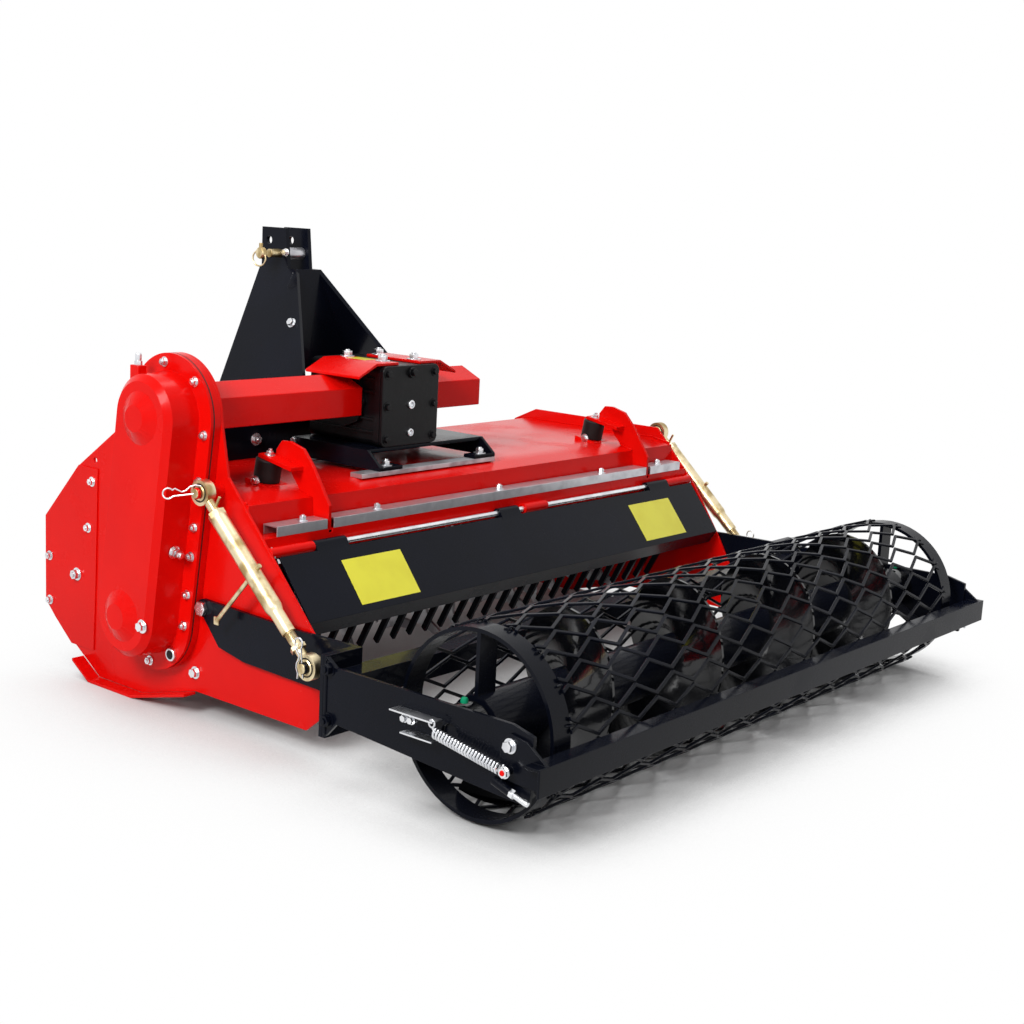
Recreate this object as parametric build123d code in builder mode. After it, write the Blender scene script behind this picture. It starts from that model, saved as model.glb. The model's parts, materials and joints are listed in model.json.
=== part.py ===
from build123d import *
import os
from math import atan2, cos, degrees, hypot, pi, radians, sin

# A stone burier that hangs on a tractor's three-point hitch.
# X runs to the machine's right, Y forward to the tractor, Z up.
# The origin is on the ground, midway along the machine and midway across it.
# Lengths are millimetres and angles are degrees.

os.makedirs("parts", exist_ok=True)

# Clearances
touch = 0.3            # seat between pieces that only lie on each other
run_gap = 0.05         # radial gap of a shaft or a pin in its hole
side_gap = 3.0         # gap at the side of a part that swings

# Body
frame_width = 1448.0   # over the outer faces of the side plates
plate_thick = 6.0
sheet = 4.0
half_width = frame_width / 2
inner_half = half_width - plate_thick

# Rotor and upper drive axis
rotor_y = 342.0
rotor_z = 198.0
rotor_hole = 55.0
rotor_stub = 30.0
case_y = 287.0
case_z = 598.0

# Roller
roller_y = -523.0
roller_radius = 175.0
roller_overhang = 27.0
roller_length = frame_width + 2 * roller_overhang
roller_z = roller_radius

# Pivot of the roller frame on the side plates
pivot_y = 196.0
pivot_z = 229.0
pivot_pin_radius = 9.0
pivot_nose = 18.0      # round end of the arm at its pivot

# Hitch
hitch_x = -190.0       # the hitch stands to the left of the middle
ear_gap = 56.0
ear_thick = 10.0
top_pin_radius = 9.5
top_pin_y = 556.0
top_pin_z = 900.0
lower_pin_radius = 11.0
lower_pin_y = 680.0
lower_pin_z = 440.0
lower_span = 683.0     # between the shoulders of the lower pins

# Tailgate
gate_y = 30.0
gate_z = 365.0
gate_rod_radius = 6.0
gate_half = half_width - 16
gate_sleeve = 11.0     # radius of the hinge sleeves
sleeve_end = gate_half - 101


def save(piece, label):
    """Name a finished piece and write it."""
    piece.part.label = label
    export_step(piece.part, f"parts/{label}.step")


def outline(points):
    """Add a closed outline of straight runs to the sketch in hand."""
    Polygon(*points, align=None)


# Side plates
right_top_z = 485.0
plate_rear = [(-90, 49), (-134, 86), (-126, 138), (-110, 230), (143, 495)]
right_rear = [(-90, 49), (-134, 86), (-126, 138), (-72, 230), (12, 352), (138, right_top_z)]
plate_front = [(616, 452), (735, 327), (735, 138), (691, 99), (544, 6), (400, 6), (229, 49)]
case_radius = 122.0

with BuildPart() as left_side_plate:
    with BuildSketch(Plane.YZ.offset(-half_width)):
        outline(plate_rear + [(case_y - case_radius, case_z), (case_y + case_radius, case_z)] + plate_front)
        with Locations((case_y, case_z)):
            Circle(case_radius)
        with Locations((rotor_y, rotor_z)):
            Circle(rotor_hole, mode=Mode.SUBTRACT)
        with Locations((pivot_y, pivot_z)):
            Circle(pivot_pin_radius + run_gap, mode=Mode.SUBTRACT)
    extrude(amount=plate_thick)

with BuildPart() as right_side_plate:
    with BuildSketch(Plane.YZ.offset(inner_half)):
        outline(right_rear + [(150, right_top_z), (545, right_top_z)] + plate_front)
        with Locations((rotor_y, rotor_z)):
            Circle(rotor_hole, mode=Mode.SUBTRACT)
        with Locations((pivot_y, pivot_z)):
            Circle(pivot_pin_radius + run_gap, mode=Mode.SUBTRACT)
    extrude(amount=plate_thick)

for side, plate in ((-1, left_side_plate), (1, right_side_plate)):
    with plate:
        with Locations(Pos(side * (inner_half + sleeve_end) / 2, gate_y, gate_z) * Rot(0, 90, 0)):
            Cylinder(gate_sleeve, inner_half - sleeve_end)
            Cylinder(gate_rod_radius + run_gap, inner_half - sleeve_end, mode=Mode.SUBTRACT)

save(left_side_plate, "left_side_plate")
save(right_side_plate, "right_side_plate")

# Hood: one folded sheet, drawn along its outer face
ledge_z = 391.0
ledge_rear = 41.0
ledge_front = 86.0
hood_top = 458.0
arm_half = half_width - 177   # arms of the separating grille, from the middle
arm_thick = 8.0
buffer_radius = 27.0
buffer_lean = 10.0     # the buffers and what they carry lean back
buffer_places = [x - arm_thick / 2 - 17 for x in (-arm_half, arm_half)]
buffer_foot = 208.0
buffer_length = 46.0
wedge_width = 60.0
hood_face = [
    (ledge_rear, 352), (ledge_rear, ledge_z), (ledge_front, ledge_z), (ledge_front + 4, 447),
    (149, hood_top), (572, hood_top), (640, 395), (652, 260),
]

with BuildPart() as hood:
    with BuildSketch(Plane.YZ.offset(-inner_half + touch)):
        with BuildLine():
            Polyline(*hood_face)
            offset(amount=sheet, side=Side.RIGHT)
        make_face()
    extrude(amount=2 * (inner_half - touch))
    for x in (-arm_half, arm_half):
        with Locations((x, (ledge_rear - 5 + 128) / 2, (ledge_z - 8 + 475) / 2)):
            Box(arm_thick + 2, 128 - ledge_rear + 5, 475 - ledge_z + 8, mode=Mode.SUBTRACT)
    for x in buffer_places:
        with BuildSketch(Plane.YZ.offset(x - wedge_width / 2)):
            outline([
                (buffer_foot - wedge_width / 2, hood_top - 1), (buffer_foot + wedge_width / 2, hood_top - 1),
                (buffer_foot + wedge_width / 2, hood_top + 1 + wedge_width * sin(radians(buffer_lean))),
                (buffer_foot - wedge_width / 2, hood_top + 1),
            ])
        extrude(amount=wedge_width)
save(hood, "hood")

# Skids under the side plates
skid_thick = 6.0
skid_width = 30.0
skid_line = [(229, 49), (400, 6), (544, 6), (600, 41)]

for side, name in ((-1, "left_skid"), (1, "right_skid")):
    start = half_width if side > 0 else -half_width - skid_width
    with BuildPart() as skid:
        with BuildSketch(Plane.YZ.offset(start + side * touch)):
            outline(skid_line + [(y, z - skid_thick) for y, z in reversed(skid_line)])
        extrude(amount=skid_width)
    save(skid, name)

# Chain case on the left
housing_depth = 15.0
gasket_thick = 3.0
flange_thick = 7.0
cover_depth = 72.0
cover_radius = 88.0
dome_height = 15.0
case_run = hypot(case_y - rotor_y, case_z - rotor_z)
case_middle = ((case_y + rotor_y) / 2, (case_z + rotor_z) / 2)
case_angle = degrees(atan2(case_z - rotor_z, case_y - rotor_y))


def racetrack(radius):
    """Add the case's outline, two half rounds and their straight sides."""
    with Locations(case_middle):
        SlotCenterToCenter(case_run, 2 * radius, rotation=case_angle)


housing_x = -half_width - touch
gasket_x = housing_x - housing_depth
flange_x = gasket_x - gasket_thick
cover_x = flange_x - flange_thick
cover_face_x = cover_x - cover_depth

with BuildPart() as chain_housing:
    with BuildSketch(Plane.YZ.offset(gasket_x)):
        racetrack(case_radius)
        racetrack(case_radius - 14)
    extrude(amount=housing_depth)
save(chain_housing, "chain_housing")

with BuildPart() as chain_gasket:
    with BuildSketch(Plane.YZ.offset(flange_x)):
        racetrack(case_radius)
        racetrack(case_radius - 30)
    extrude(amount=gasket_thick)
save(chain_gasket, "chain_gasket")

with BuildPart() as chain_cover:
    with BuildSketch(Plane.YZ.offset(cover_x)):
        racetrack(case_radius)
    extrude(amount=flange_thick)
    with BuildSketch(Plane.YZ.offset(cover_x)):
        racetrack(cover_radius)
    extrude(amount=-cover_depth, taper=4)
    chamfer(chain_cover.faces().sort_by(Axis.X)[0].edges(), 12)
    for y, z in ((case_y, case_z), (rotor_y, rotor_z)):
        with BuildSketch(Plane.YZ.offset(cover_face_x)):
            with Locations((y, z)):
                Circle(52)
        extrude(amount=-dome_height, taper=60)
save(chain_cover, "chain_cover")

# Main beam: a folded tube from the chain case to its free right end
beam_rear = 232.0
beam_front = 347.0
beam_low = 573.0
beam_side_top = 633.0
beam_ridge = 659.0
beam_right = 109.0
beam_wall = 5.0
beam_section = [
    (beam_rear, beam_low), (beam_rear, beam_side_top), ((beam_rear + beam_front) / 2, beam_ridge),
    (beam_front, beam_side_top), (beam_front, beam_low),
]

# Gearbox hangs round the beam's drive shaft
box_width = 176.0
box_rear = 180.0
box_front = 402.0
box_low = 510.0
box_high = 684.0
box_left = hitch_x - box_width / 2
box_right = hitch_x + box_width / 2

with BuildPart() as main_beam:
    for start, end in ((-inner_half + touch, box_left - touch), (box_right + touch, beam_right)):
        with BuildSketch(Plane.YZ.offset(start)):
            outline(beam_section)
            offset(amount=-beam_wall, mode=Mode.SUBTRACT)
        extrude(amount=end - start)
save(main_beam, "main_beam")

cover_thick = 8.0
input_radius = 17.45
input_core = 20.0      # the shaft where it enters the gearbox
box_flange = 16.0      # thickness of the flange that carries the cover
box_waist = 9.0        # the casting stands in behind the flange
box_middle = (box_low + box_high) / 2
box_boss = 62.0
with BuildPart() as gearbox:
    with BuildSketch(Plane.XZ.offset(-box_rear - box_flange)):
        with Locations((hitch_x, box_middle)):
            RectangleRounded(box_width, box_high - box_low, 14)
    extrude(amount=box_flange)
    with BuildSketch(Plane.XZ.offset(-box_front)):
        with Locations((hitch_x, box_middle)):
            RectangleRounded(box_width - 2 * box_waist, box_high - box_low, 14)
    extrude(amount=box_front - box_rear - box_flange)
    with BuildSketch(Plane.YZ.offset(box_left)):
        with Locations(((beam_rear + beam_front) / 2, (beam_low + beam_side_top) / 2)):
            RegularPolygon(box_boss, 8)
    extrude(amount=box_width)
    with BuildSketch(Plane.XZ.offset(-box_front)):
        with Locations((hitch_x, case_z)):
            Circle(52)
    extrude(amount=-40)
    with Locations(Pos(hitch_x, box_front + 40, case_z) * Rot(90, 0, 0)):
        Hole(input_core + run_gap, depth=60)
save(gearbox, "gearbox")

with BuildPart() as gearbox_cover:
    with BuildSketch(Plane.XZ.offset(-box_rear + touch)):
        with Locations((hitch_x, (box_low + box_high) / 2)):
            RectangleRounded(box_width, box_high - box_low, 14)
    extrude(amount=cover_thick, taper=3)
save(gearbox_cover, "gearbox_cover")

boss_front = box_front + 40
spline_length = 78.0
spline_count = 6
with BuildPart() as pto_shaft:
    with BuildSketch(Plane.XZ.offset(-boss_front - 2)):
        with Locations((hitch_x, case_z)):
            Circle(input_core)
    extrude(amount=52)
    with BuildSketch(Plane.XZ.offset(-boss_front - 2 - spline_length)):
        with Locations((hitch_x, case_z)):
            Circle(input_radius)
            with PolarLocations(input_radius, spline_count, start_angle=30):
                Rectangle(5, 3.2, mode=Mode.SUBTRACT)
    extrude(amount=spline_length)
save(pto_shaft, "pto_shaft")

# Bolted wings on the gearbox, lying on the beam's roof
wing_thick = 6.0
wing_reach = 64.0
wing_front = beam_front - 4
with BuildPart() as gearbox_wings:
    for side, edge in ((-1, box_left), (1, box_right)):
        with BuildSketch(Plane.XZ.offset(-wing_front)):
            top = box_high + touch
            outer = edge + side * wing_reach
            outline([
                (edge - side * 55, top), (edge - side * 55, top + wing_thick),
                (edge + side * 12, top + wing_thick), (outer, beam_ridge + touch + wing_thick),
                (outer, beam_ridge + touch), (edge + side * 10, top),
            ])
        extrude(amount=wing_front - box_rear)
save(gearbox_wings, "gearbox_wings")

# Support under the gearbox, bolted through bare strips to the hood
strip_thick = 10.0
strip_left = hitch_x - 182
strip_right = hitch_x + 247
strip_rear = 133.0
strip_width = 34.0
roof_z = hood_top
support_wall = 8.0
support_front = 400.0
strip_places = (strip_rear, support_front - strip_width)
with BuildPart() as support_strip:
    for y in strip_places:
        middle = (strip_left + strip_right) / 2
        with Locations((middle, y + strip_width / 2, roof_z + touch + strip_thick / 2)):
            Box(strip_right - strip_left, strip_width, strip_thick)
save(support_strip, "support_strip")

support_low = roof_z + 2 * touch + strip_thick
support_high = box_low - touch
cheek_left = hitch_x - 121
cheek_right = hitch_x + 239
foot_width = 62.0
with BuildPart() as gearbox_support:
    with Locations((
        (cheek_left + cheek_right) / 2, (strip_rear + 40 + support_front) / 2, support_high - support_wall / 2
    )):
        Box(cheek_right - cheek_left, support_front - strip_rear - 40, support_wall)
    for start, inward in ((cheek_left - support_wall, 1), (cheek_right, -1)):
        with BuildSketch(Plane.YZ.offset(start)):
            outline([
                (strip_rear + 40, support_high), (support_front, support_high), (support_front, support_low),
                (strip_rear, support_low), (strip_rear, support_low + support_wall),
            ])
        extrude(amount=support_wall)
        for y in strip_places:
            middle = start + support_wall / 2 + inward * foot_width / 2
            with Locations((middle, y + strip_width / 2, support_low + support_wall / 2)):
                Box(foot_width + support_wall, strip_width, support_wall)
save(gearbox_support, "gearbox_support")

# Headstock tower in front of the beam
ear_half = ear_gap / 2 + ear_thick
tower_top = 867.0
tower_low = 536.0
tower_low_half = 214.0
ear_top = 957.0
web_y = 499.0
web_thick = 8.0
splay = (tower_low_half - ear_half) / (tower_top - tower_low)
web_low = 640.0
web_low_half = ear_half + splay * (tower_top - web_low) - 4

with BuildPart() as headstock:
    for side in (-1, 1):
        face = Plane(
            origin=(hitch_x + side * ear_half, 0, tower_top),
            x_dir=(0, 1, 0),
            z_dir=(1, 0, side * splay),
        )
        with BuildSketch(face):
            run = hypot(1, splay)
            outline([
                (502, 0), (624, 0), (590, (tower_low - tower_top) * run),
                (beam_front + touch, (beam_low - tower_top) * run),
                (beam_front + touch, (beam_side_top + 14 - tower_top) * run),
            ])
        extrude(amount=-side * ear_thick)
        start = hitch_x + (ear_half - ear_thick if side > 0 else -ear_half)
        with BuildSketch(Plane.YZ.offset(start)):
            outline([(530, tower_top - 4), (618, tower_top - 4), (618, ear_top), (540, ear_top)])
        extrude(amount=ear_thick)
    with BuildSketch(Plane.XZ.offset(-web_y - web_thick)):
        outline([
            (hitch_x - ear_half + 2, tower_top), (hitch_x + ear_half - 2, tower_top),
            (hitch_x + web_low_half, web_low), (hitch_x - web_low_half, web_low),
        ])
    extrude(amount=web_thick)
    with Locations(Pos(hitch_x, top_pin_y, top_pin_z) * Rot(0, 90, 0)):
        Hole(top_pin_radius + run_gap)
save(headstock, "headstock")

with BuildPart() as top_link_pin:
    with Locations(Pos(hitch_x - 12, top_pin_y, top_pin_z) * Rot(0, 90, 0)):
        Cylinder(top_pin_radius, 2 * ear_half + 44)
save(top_link_pin, "top_link_pin")

with BuildPart() as top_link_spacer:
    with Locations(Pos(hitch_x, top_pin_y, top_pin_z) * Rot(0, 90, 0)):
        Cylinder(top_pin_radius + 4, ear_gap - 2 * touch)
        Cylinder(top_pin_radius + run_gap, ear_gap, mode=Mode.SUBTRACT)
save(top_link_spacer, "top_link_spacer")

# Lower hitch brackets
lug_thick = 12.0
bracket_low = roof_z + touch
bracket_high = tower_low - touch - ear_thick / 2
lower_pin_length = 83.0
bracket_front = 467.0
bracket_thick = 10.0
for side, name in ((-1, "left_lower_hitch"), (1, "right_lower_hitch")):
    shoulder = hitch_x + side * lower_span / 2
    outer_lug = shoulder if side < 0 else shoulder - lug_thick
    inner_lug = hitch_x + side * (tower_low_half - ear_thick / 2) - lug_thick / 2
    with BuildPart() as lower_hitch:
        with BuildSketch(Plane.XZ.offset(-bracket_front)):
            with Locations((hitch_x + side * (20 + lower_span / 2) / 2, (bracket_low + bracket_high) / 2)):
                Rectangle(lower_span / 2 - 20, bracket_high - bracket_low)
        extrude(amount=bracket_thick)
        with BuildSketch(Plane.YZ.offset(outer_lug), Plane.YZ.offset(inner_lug)):
            outline([
                (bracket_front - bracket_thick, bracket_low), (bracket_front - bracket_thick, bracket_high),
                (590, bracket_high), (lower_pin_y + 34, 470), (lower_pin_y + 34, 410), (lower_pin_y - 20, 410),
                (lower_pin_y - 62, bracket_low + 6), (570, bracket_low),
            ])
        extrude(amount=lug_thick)
        with BuildSketch(Plane.YZ.offset(shoulder)):
            with Locations((lower_pin_y, lower_pin_z)):
                Circle(lower_pin_radius)
        extrude(amount=side * lower_pin_length)
    save(lower_hitch, name)

# Bright rails on the hood's ledge
rail_height = 20.0
rail_wall = 3.0
rail_base = ledge_z + touch
rail_end = half_width - 36
rail_width = 40.0
rail_y = ledge_rear + rail_width / 2
rail_rows = ((-rail_end, -arm_half - 9), (-arm_half + 9, arm_half - 9), (arm_half + 9, rail_end))
with BuildPart() as clamp_rails:
    for start, end in rail_rows:
        with BuildSketch(Plane.YZ.offset(start)):
            with Locations((rail_y, rail_base + rail_height / 2)):
                Rectangle(rail_width, rail_height)
            with Locations((rail_y, rail_base + (rail_height - rail_wall) / 2)):
                Rectangle(rail_width - 2 * rail_wall, rail_height - rail_wall, mode=Mode.SUBTRACT)
        extrude(amount=end - start)
save(clamp_rails, "clamp_rails")

# Sprung separating grille: arms above, buffers and tines below
arm_foot = ledge_z - sheet
arm_shape = [
    (44, arm_foot), (112, arm_foot), (122, 412), (128, 455), (150, 480), (166, 510), (200, 517), (200, 527),
    (184, 547), (160, 548), (122, 538), (92, 506), (44, 436),
]
lean_y = -sin(radians(buffer_lean))
lean_z = cos(radians(buffer_lean))
foot_z = hood_top + 1 + wedge_width / 2 * sin(radians(buffer_lean)) + touch
top_y = buffer_foot + lean_y * buffer_length
top_z = foot_z + lean_z * buffer_length
clamp_thick = 8.0
clamp_width = 34.0


def on_clamp(run, rise):
    """Return a point of the clamp, forward from the buffer's axis and up from the buffer's top."""
    rise = rise + touch
    return (top_y + run * lean_z + rise * lean_y, top_z - run * lean_y + rise * lean_z)


with BuildPart() as grille_arms:
    for x in (-arm_half, arm_half):
        with BuildSketch(Plane.YZ.offset(x - arm_thick / 2)):
            outline(arm_shape)
        extrude(amount=arm_thick)
        with BuildSketch(Plane.YZ.offset(x - arm_thick / 2 - clamp_width)):
            outline([on_clamp(*place) for place in ((-82, 0), (16, 0), (16, clamp_thick), (-82, clamp_thick))])
        extrude(amount=clamp_width)
save(grille_arms, "grille_arms")

with BuildPart() as rubber_buffers:
    for x in buffer_places:
        with BuildSketch(Plane(origin=(x, buffer_foot, foot_z), x_dir=(1, 0, 0), z_dir=(0, lean_y, lean_z))):
            Circle(buffer_radius)
        extrude(amount=buffer_length)
save(rubber_buffers, "rubber_buffers")

tine_pitch = 50.0
tine_thick = 8.0
tine_count = 2 * int((inner_half - 68) / tine_pitch) + 1
tine_outer = [(62, 372), (34, 300), (40, 210), (92, 110)]
tine_inner = [(102, 118), (54, 212), (48, 300), (76, 372)]
bar_low = 368.0
with BuildPart() as separating_tines:
    with Locations((0, 62, (bar_low + arm_foot - touch) / 2)):
        Box(2 * inner_half - 40, 28, arm_foot - touch - bar_low)
    with BuildSketch(*[
        Plane.YZ.offset((index - (tine_count - 1) / 2) * tine_pitch - tine_thick / 2) for index in range(tine_count)
    ]):
        outline(tine_outer + tine_inner)
    extrude(amount=tine_thick)
save(separating_tines, "separating_tines")

# Rotor
rotor_half = inner_half - 8
rotor_tube = 44.0
disc_pitch = 160.0
disc_count = 2 * int((rotor_half - 30) / disc_pitch) + 1
disc_radius = 115.0
disc_thick = 10.0
disc_places = [(index - (disc_count - 1) / 2) * disc_pitch for index in range(disc_count)]
with BuildPart() as rotor_shaft:
    with BuildSketch(Plane.YZ.offset(-rotor_half)):
        with Locations((rotor_y, rotor_z)):
            Circle(rotor_tube)
    extrude(amount=2 * rotor_half)
    with BuildSketch(Plane.YZ.offset(2 - half_width)):
        with Locations((rotor_y, rotor_z)):
            Circle(rotor_stub)
    extrude(amount=2 * (half_width - 2))
    with BuildSketch(*[Plane.YZ.offset(x - disc_thick / 2) for x in disc_places]):
        with Locations((rotor_y, rotor_z)):
            RegularPolygon(disc_radius, 6)
    extrude(amount=disc_thick)
save(rotor_shaft, "rotor_shaft")

with BuildPart() as rotor_bearings:
    for side in (-1, 1):
        with Locations(Pos(side * (half_width - 6), rotor_y, rotor_z) * Rot(0, 90, 0)):
            Cylinder(rotor_hole - touch, 12)
            Cylinder(rotor_stub + run_gap, 40, mode=Mode.SUBTRACT)
    with Locations(Pos(half_width + touch + 12, rotor_y, rotor_z) * Rot(0, 90, 0)):
        Cylinder(70, 24)
    chamfer(rotor_bearings.faces().sort_by(Axis.X)[-1].edges(), 8)
save(rotor_bearings, "rotor_bearings")

blade_thick = 8.0
blades_a_side = 3
blade_lag = 26.0       # turn from one disc to the next, so that the blades bite one by one
blade_shape = [(-24, 62), (24, 62), (34, 150), (62, 178), (40, 185), (8, 160), (-20, 150)]
blade_planes = []
for index, place in enumerate(disc_places):
    for side in (-1, 1):
        start = place + side * (disc_thick / 2 + touch) - (blade_thick if side < 0 else 0)
        for step in range(blades_a_side):
            turn = radians(index * blade_lag + (step + (side + 1) / 4) * 360 / blades_a_side)
            blade_planes.append(
                Plane(origin=(start, rotor_y, rotor_z), x_dir=(0, cos(turn), sin(turn)), z_dir=(1, 0, 0))
            )
with BuildPart() as rotor_blades:
    with BuildSketch(*blade_planes):
        outline(blade_shape)
    extrude(amount=blade_thick)
save(rotor_blades, "rotor_blades")

# Tailgate on its rod
gate_low_y = -68.0
gate_low_z = 243.0
gate_sheet = 4.0
gate_length = hypot(gate_y - gate_low_y, gate_z - gate_low_z)
with BuildPart() as tailgate_rod:
    with Locations(Pos(0, gate_y, gate_z) * Rot(0, 90, 0)):
        Cylinder(gate_rod_radius, 2 * gate_half + 8)
save(tailgate_rod, "tailgate_rod")

gate_down = ((gate_low_y - gate_y) / gate_length, (gate_low_z - gate_z) / gate_length)
gate_skin = 8.0        # the sheet's outer face stands this far off the rod's axis
gate_lip = 36.0


def on_gate(run, rise):
    """Return a point of the gate's section, down its slope and out from it."""
    return (gate_y + run * gate_down[0] + rise * gate_down[1], gate_z + run * gate_down[1] - rise * gate_down[0])


knuckle_width = 86.0
knuckle_middle = sleeve_end - touch - knuckle_width / 2
knuckle_rows = ((-knuckle_middle, knuckle_width), (-17, 66), (knuckle_middle, knuckle_width))
with BuildPart() as tailgate:
    with BuildSketch(Plane.YZ.offset(-gate_half + 4)):
        with BuildLine():
            Polyline(on_gate(14, gate_skin), on_gate(gate_length, gate_skin), on_gate(gate_length + 12, gate_skin - gate_lip))
            offset(amount=gate_sheet, side=Side.LEFT)
        make_face()
    extrude(amount=2 * gate_half - 8)
    for x, width in knuckle_rows:
        with BuildSketch(Plane.YZ.offset(x - width / 2)):
            with Locations((gate_y, gate_z)):
                Circle(gate_sleeve)
            outline([on_gate(0, 11), on_gate(0, -4), on_gate(22, 2), on_gate(22, gate_skin)])
        extrude(amount=width)
        with Locations(Pos(x, gate_y, gate_z) * Rot(0, 90, 0)):
            Cylinder(gate_rod_radius + run_gap, width + 2, mode=Mode.SUBTRACT)
save(tailgate, "tailgate")

# Roller frame
arm_x = roller_length / 2 + 60
frame_plate = 8.0
flange_y = -180.0
pivot_x = half_width + side_gap
arm_low_z = 124.0
arm_high_z = 226.0
pivot_shape = [
    (pivot_y, pivot_z + pivot_nose), (-47, 240), (flange_y, 243), (flange_y, 92), (-132, 140), (76, 146), (150, 160),
    (pivot_y, pivot_z - pivot_nose),
]
for side, name in ((-1, "left_pivot_arm"), (1, "right_pivot_arm")):
    start = pivot_x if side > 0 else -pivot_x - frame_plate
    with BuildPart() as pivot_arm:
        with BuildSketch(Plane.YZ.offset(start)):
            outline(pivot_shape)
            with Locations((pivot_y, pivot_z)):
                Circle(pivot_nose)
                Circle(pivot_pin_radius + run_gap, mode=Mode.SUBTRACT)
        extrude(amount=frame_plate)
        with Locations((side * (pivot_x + arm_x + 4) / 2, flange_y + frame_plate / 2, (92 + 243) / 2)):
            Box(arm_x + 4 - pivot_x, frame_plate, 243 - 92)
    save(pivot_arm, name)

pivot_head = 15.0
pivot_head_thick = 11.0
with BuildPart() as pivot_bolts:
    for side in (-1, 1):
        outer = pivot_x + frame_plate + touch
        inner = inner_half - touch
        with Locations(Pos(side * (outer + inner) / 2, pivot_y, pivot_z) * Rot(0, 90, 0)):
            Cylinder(pivot_pin_radius, outer - inner + 2)
        for x in (outer, inner - pivot_head_thick):
            with BuildSketch(Plane.YZ.offset(x if side > 0 else -x - pivot_head_thick)):
                with Locations((pivot_y, pivot_z)):
                    RegularPolygon(pivot_head, 6)
            extrude(amount=pivot_head_thick)
save(pivot_bolts, "pivot_bolts")

bearing_inner = roller_length / 2 + 6
cross_depth = 50.0
cross_height = 46.0
front_y = flange_y - touch
with BuildPart() as roller_frame:
    for side in (-1, 1):
        start = side * arm_x - frame_plate / 2
        with BuildSketch(Plane.YZ.offset(start)):
            outline([
                (front_y, 243), (front_y, 92), (front_y - 80, arm_low_z), (-628, 100), (-694, 97),
                (-699, 120), (-699, 214), (-654, 225), (front_y - 74, arm_high_z),
            ])
            with Locations((roller_y, roller_z)):
                Circle(18, mode=Mode.SUBTRACT)
        extrude(amount=frame_plate)
        with Locations((side * (pivot_x + arm_x + 4) / 2, front_y - frame_plate / 2, (92 + 243) / 2)):
            Box(arm_x + 4 - pivot_x, frame_plate, 243 - 92)
    with Locations((0, front_y - cross_depth / 2, 212 - cross_height / 2)):
        Box(2 * arm_x, cross_depth, cross_height)
save(roller_frame, "roller_frame")

with BuildPart() as roller_bearings:
    for side in (-1, 1):
        middle = side * (bearing_inner + arm_x - frame_plate / 2 - touch) / 2
        with Locations(Pos(middle, roller_y, roller_z) * Rot(0, 90, 0)):
            Cylinder(45, arm_x - frame_plate / 2 - touch - bearing_inner)
            Cylinder(17.5 + run_gap, 200, mode=Mode.SUBTRACT)
save(roller_bearings, "roller_bearings")

# Scraper bar behind the roller
scraper_half = arm_x + 30
scraper_rear = -735.0
scraper_top = 176.0
scraper_leg = 48.0
scraper_shelf = 32.0
scraper_wall = 5.0
spring_rear = (-661.0, 152.0)
spring_pin = 6.0
with BuildPart() as scraper_bar:
    with BuildSketch(Plane.YZ.offset(-scraper_half)):
        outline([
            (scraper_rear, scraper_top - scraper_leg), (scraper_rear, scraper_top),
            (scraper_rear + scraper_shelf, scraper_top), (scraper_rear + scraper_shelf, scraper_top - scraper_wall),
            (scraper_rear + scraper_wall, scraper_top - scraper_wall),
            (scraper_rear + scraper_wall, scraper_top - scraper_leg),
        ])
    extrude(amount=2 * scraper_half)
    for side in (-1, 1):
        start = side * (arm_x + frame_plate / 2 + touch + 3) - 3
        with BuildSketch(Plane.YZ.offset(start)):
            outline([
                (scraper_rear + 1, 129), (scraper_rear + 1, 175), (-690, 206), (-655, 211),
                (-637, 195), (-637, 144), (-655, 132),
            ])
        extrude(amount=6)
        with Locations(Pos(side * (arm_x + frame_plate / 2 + touch + 15), *spring_rear) * Rot(0, 90, 0)):
            Cylinder(spring_pin, 30)
save(scraper_bar, "scraper_bar")

# Tension springs of the scraper, each in a bracket on the roller's arm
spring_front = (-506.0, 178.5)
spring_radius = 9.5
spring_x = arm_x + frame_plate / 2 + 20
bracket_rear = -508.0
bracket_nose = -410.0
bracket_flange = 26.0
hook_low = 160.0
hook_high = 197.0
with BuildPart() as scraper_springs:
    for side in (-1, 1):
        run = hypot(spring_front[0] - spring_rear[0], spring_front[1] - spring_rear[1])
        slope = Plane(origin=(side * spring_x, *spring_rear), x_dir=(1, 0, 0),
                      z_dir=(0, spring_front[0] - spring_rear[0], spring_front[1] - spring_rear[1]))
        with BuildSketch(slope.offset(spring_pin + touch)):
            Circle(spring_radius)
        extrude(amount=run - spring_pin)
        start = side * (arm_x + frame_plate / 2 + touch)
        with BuildSketch(Plane.XZ.offset(-bracket_nose)):
            outline([
                (start, hook_low), (start, hook_high), (start + side * bracket_flange, hook_high),
                (start + side * bracket_flange, hook_high - 3), (start + side * 3, hook_high - 3),
                (start + side * 3, hook_low + 3), (start + side * bracket_flange, hook_low + 3),
                (start + side * bracket_flange, hook_low),
            ])
        extrude(amount=bracket_nose - bracket_rear)
        with Locations((start + side * bracket_flange / 2, bracket_rear + 1.5, (hook_low + hook_high) / 2)):
            Box(bracket_flange, 3, hook_high - hook_low)
save(scraper_springs, "scraper_springs")

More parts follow.
